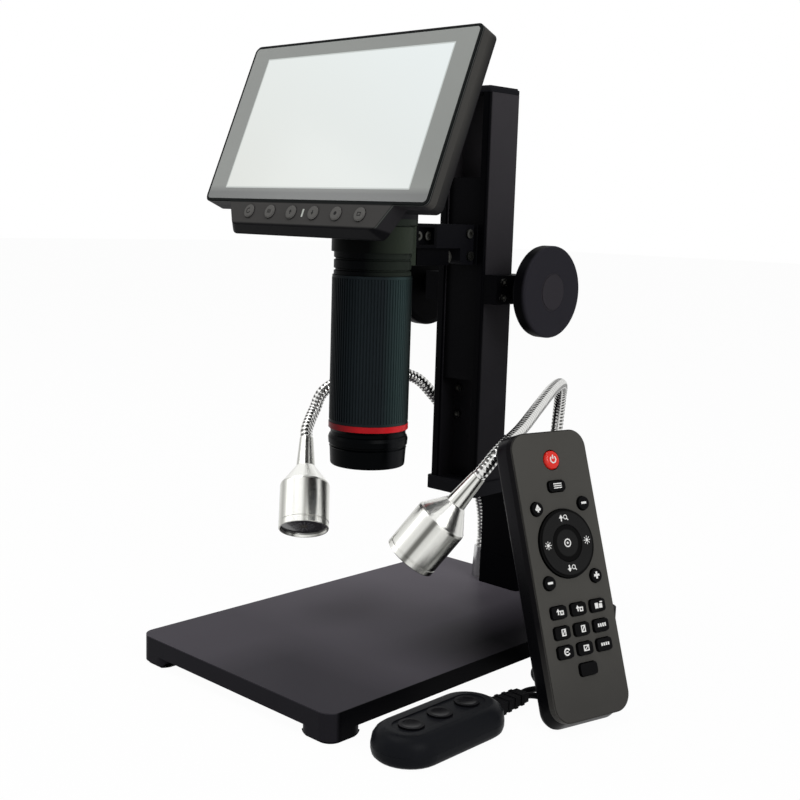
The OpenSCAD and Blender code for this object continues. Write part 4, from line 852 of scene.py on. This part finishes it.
def mark_winding(piece, points):
    """Keeps on each vertex how high it is on the winding and where round the tube."""
    count = len(piece.data.vertices)
    ring = count // len(points)
    crest = piece.data.attributes.new("crest", "FLOAT", "POINT")
    about = piece.data.attributes.new("about", "FLOAT", "POINT")
    for k in range(count):
        crest.data[k].value = wave(min(k // ring, len(points) - 1))
        turn = (k % ring) / ring
        about.data[k].value = min(turn, 1 - turn)


def gooseneck(i):
    """A spiral-wound tube: its radius swells and narrows with each turn of the winding."""
    top = LAMP_MIDS[i] - LAMP_REACH * LAMP_AXES[i]
    stations = ([ROOTS[i], ROOTS[i] + Vector((0, 0, FERRULE_H))] + [Vector(p) for p in GOOSENECK_ROUTES[i]]
                + [top - INTO_LAMP * LAMP_AXES[i], top])
    points = spaced(smooth(stations, steps=12), WIND_PITCH / WIND_STEPS)
    name = "wound_tube_" + SIDES[i]
    line = tube(name + "_line", [p * MM for p in points], GOOSENECK_R * MM,
                lambda k: 1 - WIND_DEPTH + WIND_DEPTH * wave(k) ** WIND_ROUND, rounding=6)
    piece = as_mesh(line, name)
    mark_winding(piece, points)
    paint(piece, chrome_wound)
    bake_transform(piece)
    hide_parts("gooseneck_" + SIDES[i])


for i in (0, 1):
    gooseneck(i)

# ---- Softened edges ----

SAME_PLACE = 0.004                  # vertices nearer than this are one
FLAT = math.radians(1.0)            # faces that meet at less than this are one
BAR_FRONT = 0.2                     # the key bar's front edges lie within this depth


def softened(name, width, body, angle=28, segments=2, smooth_angle=32, first=()):
    """A copy of a node with its hard edges rounded, which stands for the node.

    First holds a width, a test and the steps for edges that are rounded more, before the rest.
    """
    source = nodes[name]
    bm = bmesh.new()
    bm.from_mesh(source.data)
    bmesh.ops.remove_doubles(bm, verts=bm.verts, dist=SAME_PLACE * MM)
    bmesh.ops.dissolve_limit(bm, angle_limit=FLAT, verts=bm.verts, edges=bm.edges)
    for size, chosen, steps in list(first) + [(width, None, segments)]:
        sharp = [e for e in bm.edges if len(e.link_faces) == 2 and e.calc_face_angle(0) > math.radians(angle)
                 and (chosen is None or chosen(*(v.co for v in e.verts)))]
        bmesh.ops.bevel(bm, geom=sharp, offset=size * MM, offset_type="OFFSET", affect="EDGES",
                        segments=steps, profile=0.5, material=-1, clamp_overlap=True)
    for face in bm.faces:
        face.smooth = True
    piece = from_bmesh(name + "_soft", bm)
    piece.data.set_sharp_from_angle(angle=math.radians(smooth_angle))
    even = piece.modifiers.new("even", "WEIGHTED_NORMAL")
    even.keep_sharp = True
    piece.data.materials.append(source.data.materials[0])
    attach(piece, body)
    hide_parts(name)


def bar_corner(a, b):
    """Whether an edge runs back from one of the lower corners of the bar with the screen's keys."""
    a, b = (to_screen @ p for p in (a, b))
    return max(a.z, b.z) < BAR_END * MM and abs(a.y - b.y) > 0.6 * (a - b).length


def bar_rim(a, b):
    """Whether an edge is part of the bar's lower rim."""
    a, b = (to_screen @ p for p in (a, b))
    return max(a.z, b.z) < BAR_SHOULDER * MM and max(a.y, b.y) < BAR_FRONT * MM


SOFTENED = [                        # node, width of the rounding in millimetres, body
    ("base_plate", 0.7, "stand"), ("pedestal", 0.5, "stand"), ("column", 0.25, "stand"),
    ("column_caps", 0.3, "stand"), ("bearing_block", 0.4, "stand"), ("carriage_arm", 0.4, "carriage"),
    ("clamp_yoke", 0.3, "carriage"), ("remote_front", 0.35, "remote"), ("remote_back", 0.3, "remote"),
    ("remote_keypad", 0.4, "remote"), ("remote_menu_key", 0.5, "remote_menu_key"),
    ("rear_housing", 0.4, "head"), ("holder_ring", 0.25, "carriage"),
]
for name, width, body in SOFTENED:
    softened(name, width, body)
softened("front_housing", 0.3, "head", first=[(2.0, bar_corner, 5), (0.7, bar_rim, 3)])
softened("remote_power_key", 1.5, "remote_power_key", segments=5)
for name in ("controller_top", "controller_base"):
    softened(name, 0.3, "stand", angle=50, smooth_angle=50)
for i in range(1, 7):
    softened("screen_button_%d" % i, 0.55, "screen_button_%d" % i, segments=3)

# ---- Print on the keys ----

PRINT_T = 0.04
FACE_LIFT = 0.01                    # the print's underside stands this far above the key
DISC_SIDES = 20


class Print:
    """Flat shapes a hair above a face, drawn in millimetres along its width and height.

    The matrix gives the frame that they are drawn in, and face the depth of the face there.
    """

    def __init__(self, name, body, matrix, face, finish):
        self.name, self.body, self.matrix, self.finish = name, body, matrix, finish
        self.depth = face - FACE_LIFT
        self.bm = bmesh.new()

    def thicken(self, face):
        """Makes a flat face into a thin plate."""
        found = bmesh.ops.extrude_face_region(self.bm, geom=[face])
        outer = [v for v in found["geom"] if isinstance(v, bmesh.types.BMVert)]
        bmesh.ops.translate(self.bm, verts=outer, vec=self.matrix.to_3x3() @ mm(0, -PRINT_T, 0))

    def shape(self, outline):
        """A plate with the given corners."""
        corners = [self.bm.verts.new(self.matrix @ mm(x, self.depth, z)) for x, z in outline]
        self.thicken(self.bm.faces.new(corners))

    def bar(self, x, z, w, h, turn=0.0):
        """A rectangle round the given place, turned by degrees."""
        spin = Matrix.Rotation(math.radians(turn), 2)
        self.shape([Vector((x, z)) + spin @ Vector((a * w / 2, b * h / 2))
                    for a, b in ((-1, -1), (1, -1), (1, 1), (-1, 1))])

    def disc(self, x, z, r):
        """A round plate."""
        upright = Matrix.Translation(mm(x, self.depth, z)) @ Matrix.Rotation(math.pi / 2, 4, "X")
        found = bmesh.ops.create_circle(self.bm, cap_ends=True, segments=DISC_SIDES, radius=r * MM,
                                        matrix=self.matrix @ upright)
        self.thicken(found["verts"][0].link_faces[0])

    def loop(self, x, z, r, t, start=0, stop=360, steps=20):
        """Part of a ring, as a row of short bars."""
        for k in range(steps):
            a0, a1 = (math.radians(start + (stop - start) * j / steps) for j in (k, k + 1))
            self.shape([(x + q * math.cos(a), z + q * math.sin(a))
                        for q, a in ((r - t / 2, a0), (r + t / 2, a0), (r + t / 2, a1), (r - t / 2, a1))])

    def border(self, x, z, w, h, t):
        """A rectangle's outline, t wide."""
        for sign in (-1, 1):
            self.bar(x + sign * (w - t) / 2, z, t, h)
            self.bar(x, z + sign * (h - t) / 2, w - 2 * t, t)

    def arrow(self, x, z, size, down=False):
        """A triangle on a short shaft."""
        sign = -1 if down else 1
        head = [(x - size * 0.55, z), (x + size * 0.55, z), (x, z + sign * size * 0.75)]
        self.shape(head[::sign])
        self.bar(x, z - sign * size * 0.35, size * 0.34, size * 0.7)

    def sun(self, x, z, r):
        """A disc with eight rays."""
        self.disc(x, z, r * 0.42)
        for degrees in range(0, 360, 45):
            a = math.radians(degrees)
            self.bar(x + r * 0.78 * math.cos(a), z + r * 0.78 * math.sin(a), r * 0.44, r * 0.17, degrees)

    def lens(self, x, z, r):
        """A ring with a handle."""
        self.loop(x, z, r, r * 0.42)
        self.bar(x + r * 1.25, z - r * 1.25, r * 1.1, r * 0.5, turn=-45)

    def done(self):
        """Turns the shapes into one piece on their body."""
        bmesh.ops.recalc_face_normals(self.bm, faces=list(self.bm.faces))
        piece = from_bmesh(self.name, self.bm)
        paint(piece, self.finish)
        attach(piece, self.body)


def print_remote():
    """Plain signs on the remote's keys, row by row."""
    keys = Print("print_keypad", "remote", remote_matrix, KEY_FACE, print_white)
    left, right = -SIDE_KEY_X, SIDE_KEY_X
    keys.arrow(left, SIDE_KEY_UP + 0.1, 2.2)
    keys.disc(left - 0.7, SIDE_KEY_UP - 0.2, 0.65)
    keys.disc(left + 0.7, SIDE_KEY_UP - 0.2, 0.65)
    keys.bar(right - 0.1, SIDE_KEY_UP, 2.6, 0.9)
    keys.bar(left - 0.1, SIDE_KEY_DOWN, 2.6, 0.9)
    keys.bar(right, SIDE_KEY_DOWN, 2.8, 0.9)
    for sign in (-1, 1):
        keys.bar(right, SIDE_KEY_DOWN + sign * 0.93, 0.9, 0.94)
    high, middle, low = ROW_HEIGHTS
    step = COLUMN_STEP
    for x in (-step, 0):
        keys.arrow(x - 0.7, high + 0.2, 1.7)
        keys.border(x + 1.1, high - 0.3, 1.8, 1.8, 0.5)
    keys.bar(step - 0.9, high - 0.2, 1.7, 2.2)
    keys.bar(step + 1.2, high - 0.4, 1.7, 1.8)
    keys.bar(step + 1.6, high + 1.1, 1.4, 0.5)
    for x in (-step, 0):
        keys.border(x + 0.4, middle, 2.2, 2.8, 0.45)
        keys.bar(x + 0.4, middle, 2.0, 0.45, turn=55)
    for k in range(4):
        keys.bar(step - 1.6 + k * 1.15, middle, 0.75, 1.4)
    keys.loop(-step + 0.4, low, 1.25, 0.6, start=20, stop=330, steps=16)
    keys.bar(-step + 0.4, low, 1.2, 0.5)
    keys.border(0.3, low, 2.8, 2.4, 0.45)
    keys.bar(0.3, low, 2.4, 0.4, turn=42)
    for k in range(4):
        keys.bar(step - 1.6 + k * 1.15, low, 0.75, 1.2)
    keys.done()
    power = Print("print_power", "remote_power_key", remote_matrix, KEY_FACE, print_white)
    power.loop(0, POWER_Z, 1.35, 0.55, start=125, stop=415, steps=18)
    power.bar(0, POWER_Z + 1.1, 0.55, 1.7)
    power.done()
    menu = Print("print_menu", "remote_menu_key", remote_matrix, KEY_FACE, print_white)
    for k in (-1, 0, 1):
        menu.bar(0, MENU_Z + k * 0.85, 4.2, 0.42)
    menu.done()
    ring = Print("print_ring", "remote_ring_key", remote_matrix, RING_FACE, print_white)
    for sign in (-1, 1):
        ring.sun(sign * RING_MARK_R, 0, 1.7)
        ring.arrow(-1.3, sign * RING_MARK_R, 1.9, down=sign < 0)
        ring.lens(0.9, sign * RING_MARK_R + 0.3, 0.8)
    ring.done()
    middle_key = Print("print_ok", "remote_ok_key", remote_matrix, KEY_FACE, print_white)
    middle_key.loop(0, 0, 1.5, 0.5)
    middle_key.disc(0, 0, 0.5)
    middle_key.done()


def print_buttons():
    """Small generic signs on the six keys under the screen."""
    for i in range(6):
        x = (i - 2.5) * BUTTON_PITCH
        mark = Print("print_button_%d" % (i + 1), "screen_button_%d" % (i + 1), head_matrix,
                     BUTTON_FACE, print_grey)
        if i == 0:
            mark.loop(x, BUTTON_ROW, 1.1, 0.35, start=60, stop=350, steps=14)
        elif i == 1:
            for k in (-1, 0, 1):
                mark.bar(x + k * 0.8, BUTTON_ROW, 0.38, 1.7)
        elif i == 2:
            mark.arrow(x, BUTTON_ROW, 1.4)
        elif i == 3:
            mark.arrow(x, BUTTON_ROW, 1.4, down=True)
        elif i == 4:
            mark.disc(x, BUTTON_ROW, 0.8)
        else:
            mark.border(x, BUTTON_ROW, 2.0, 1.6, 0.35)
        mark.done()


print_remote()
print_buttons()

# ---- Status window ----

WINDOW_SIZE = (1.1, 1.35, 3.5)
WINDOW_DEPTH = 0.725                # its middle, behind the screen's bezel
WINDOW_ROUNDING = 0.1


def status_window():
    """The small clear window between the screen's keys."""
    bm = bmesh.new()
    place = Matrix.LocRotScale(mm(0, WINDOW_DEPTH, BUTTON_ROW), None, mm(*WINDOW_SIZE))
    bmesh.ops.create_cube(bm, size=1, matrix=head_matrix @ place)
    bmesh.ops.bevel(bm, geom=list(bm.edges), offset=WINDOW_ROUNDING * MM, offset_type="OFFSET",
                    affect="EDGES", segments=2, profile=0.5, material=-1)
    piece = from_bmesh("status_window", bm)
    paint(piece, status_clear)
    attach(piece, "head")


status_window()

# ---- Stage and light ----

FLOOR_HALF = 6                      # half the floor's width, in metres
FLOOR_TONE = tone(240, 240, 240)
FLOOR_WHITE = 0.97                  # how far the floor is plain white to the camera
WORLD_LEVEL = 0.26                  # strength of the light from all round
WHITE = (1.0, 1.0, 1.0)
LIGHTS = [                          # name, place, aimed at, width and height, all in metres; watts
    ("key", (1.1, -0.25, 0.75), (0, 0.02, 0.1), (0.7, 0.9), 9),
    ("top", (-0.3, -0.3, 1.3), (0, 0.02, 0.1), (0.9, 0.9), 8),
    ("front", (-0.9, -0.9, 0.5), (0, 0.02, 0.12), (0.6, 0.9), 1.6),
]


def make_stage():
    """A floor that takes soft shadows and is nearly white to the camera."""
    bm = bmesh.new()
    bmesh.ops.create_grid(bm, x_segments=8, y_segments=8, size=FLOOR_HALF,
                          matrix=Matrix.Translation((0, 0, FLOOR_Z * MM)))
    floor = from_bmesh("floor", bm)
    s = Shader("floor_pale")
    s.set(Base_Color=FLOOR_TONE, Roughness=0.9, Specular_IOR_Level=0.0)
    white = s.add("Emission", None, {"Color": WHITE, "Strength": 1.0})
    mixed = s.add("MixShader", None, {0: s.seen() * FLOOR_WHITE, 1: Value(s, s.surface.outputs[0]), 2: white})
    s.put(s.nodes["Material Output"].inputs["Surface"], mixed)
    paint(floor, s)


def make_world():
    """Dim even light all round, which looks white to the camera and in mirrors."""
    world = bpy.data.worlds.new("studio")
    bpy.context.scene.world = world
    world.use_nodes = True
    tree = Tree(world.node_tree)
    dim = tree.nodes["Background"]
    tree.put(dim.inputs["Color"], WHITE)
    tree.put(dim.inputs["Strength"], WORLD_LEVEL)
    white = tree.add("Background", None, {"Color": WHITE, "Strength": 1.0})
    mixed = tree.add("MixShader", None, {0: tree.seen(), 1: Value(tree, dim.outputs[0]), 2: white})
    tree.put(tree.nodes["World Output"].inputs["Surface"], mixed)


def area_light(name, place, target, size, power):
    """A rectangular light that faces its target."""
    data = bpy.data.lights.new(name, "AREA")
    data.shape = "RECTANGLE"
    data.size, data.size_y = size
    data.energy = power
    light = linked(name, data)
    light.location = place
    light.rotation_mode = "QUATERNION"
    light.rotation_quaternion = (Vector(target) - Vector(place)).to_track_quat("-Z", "Y")


make_stage()
make_world()
for light in LIGHTS:
    area_light(*light)
bpy.context.scene.view_settings.view_transform = "Standard"
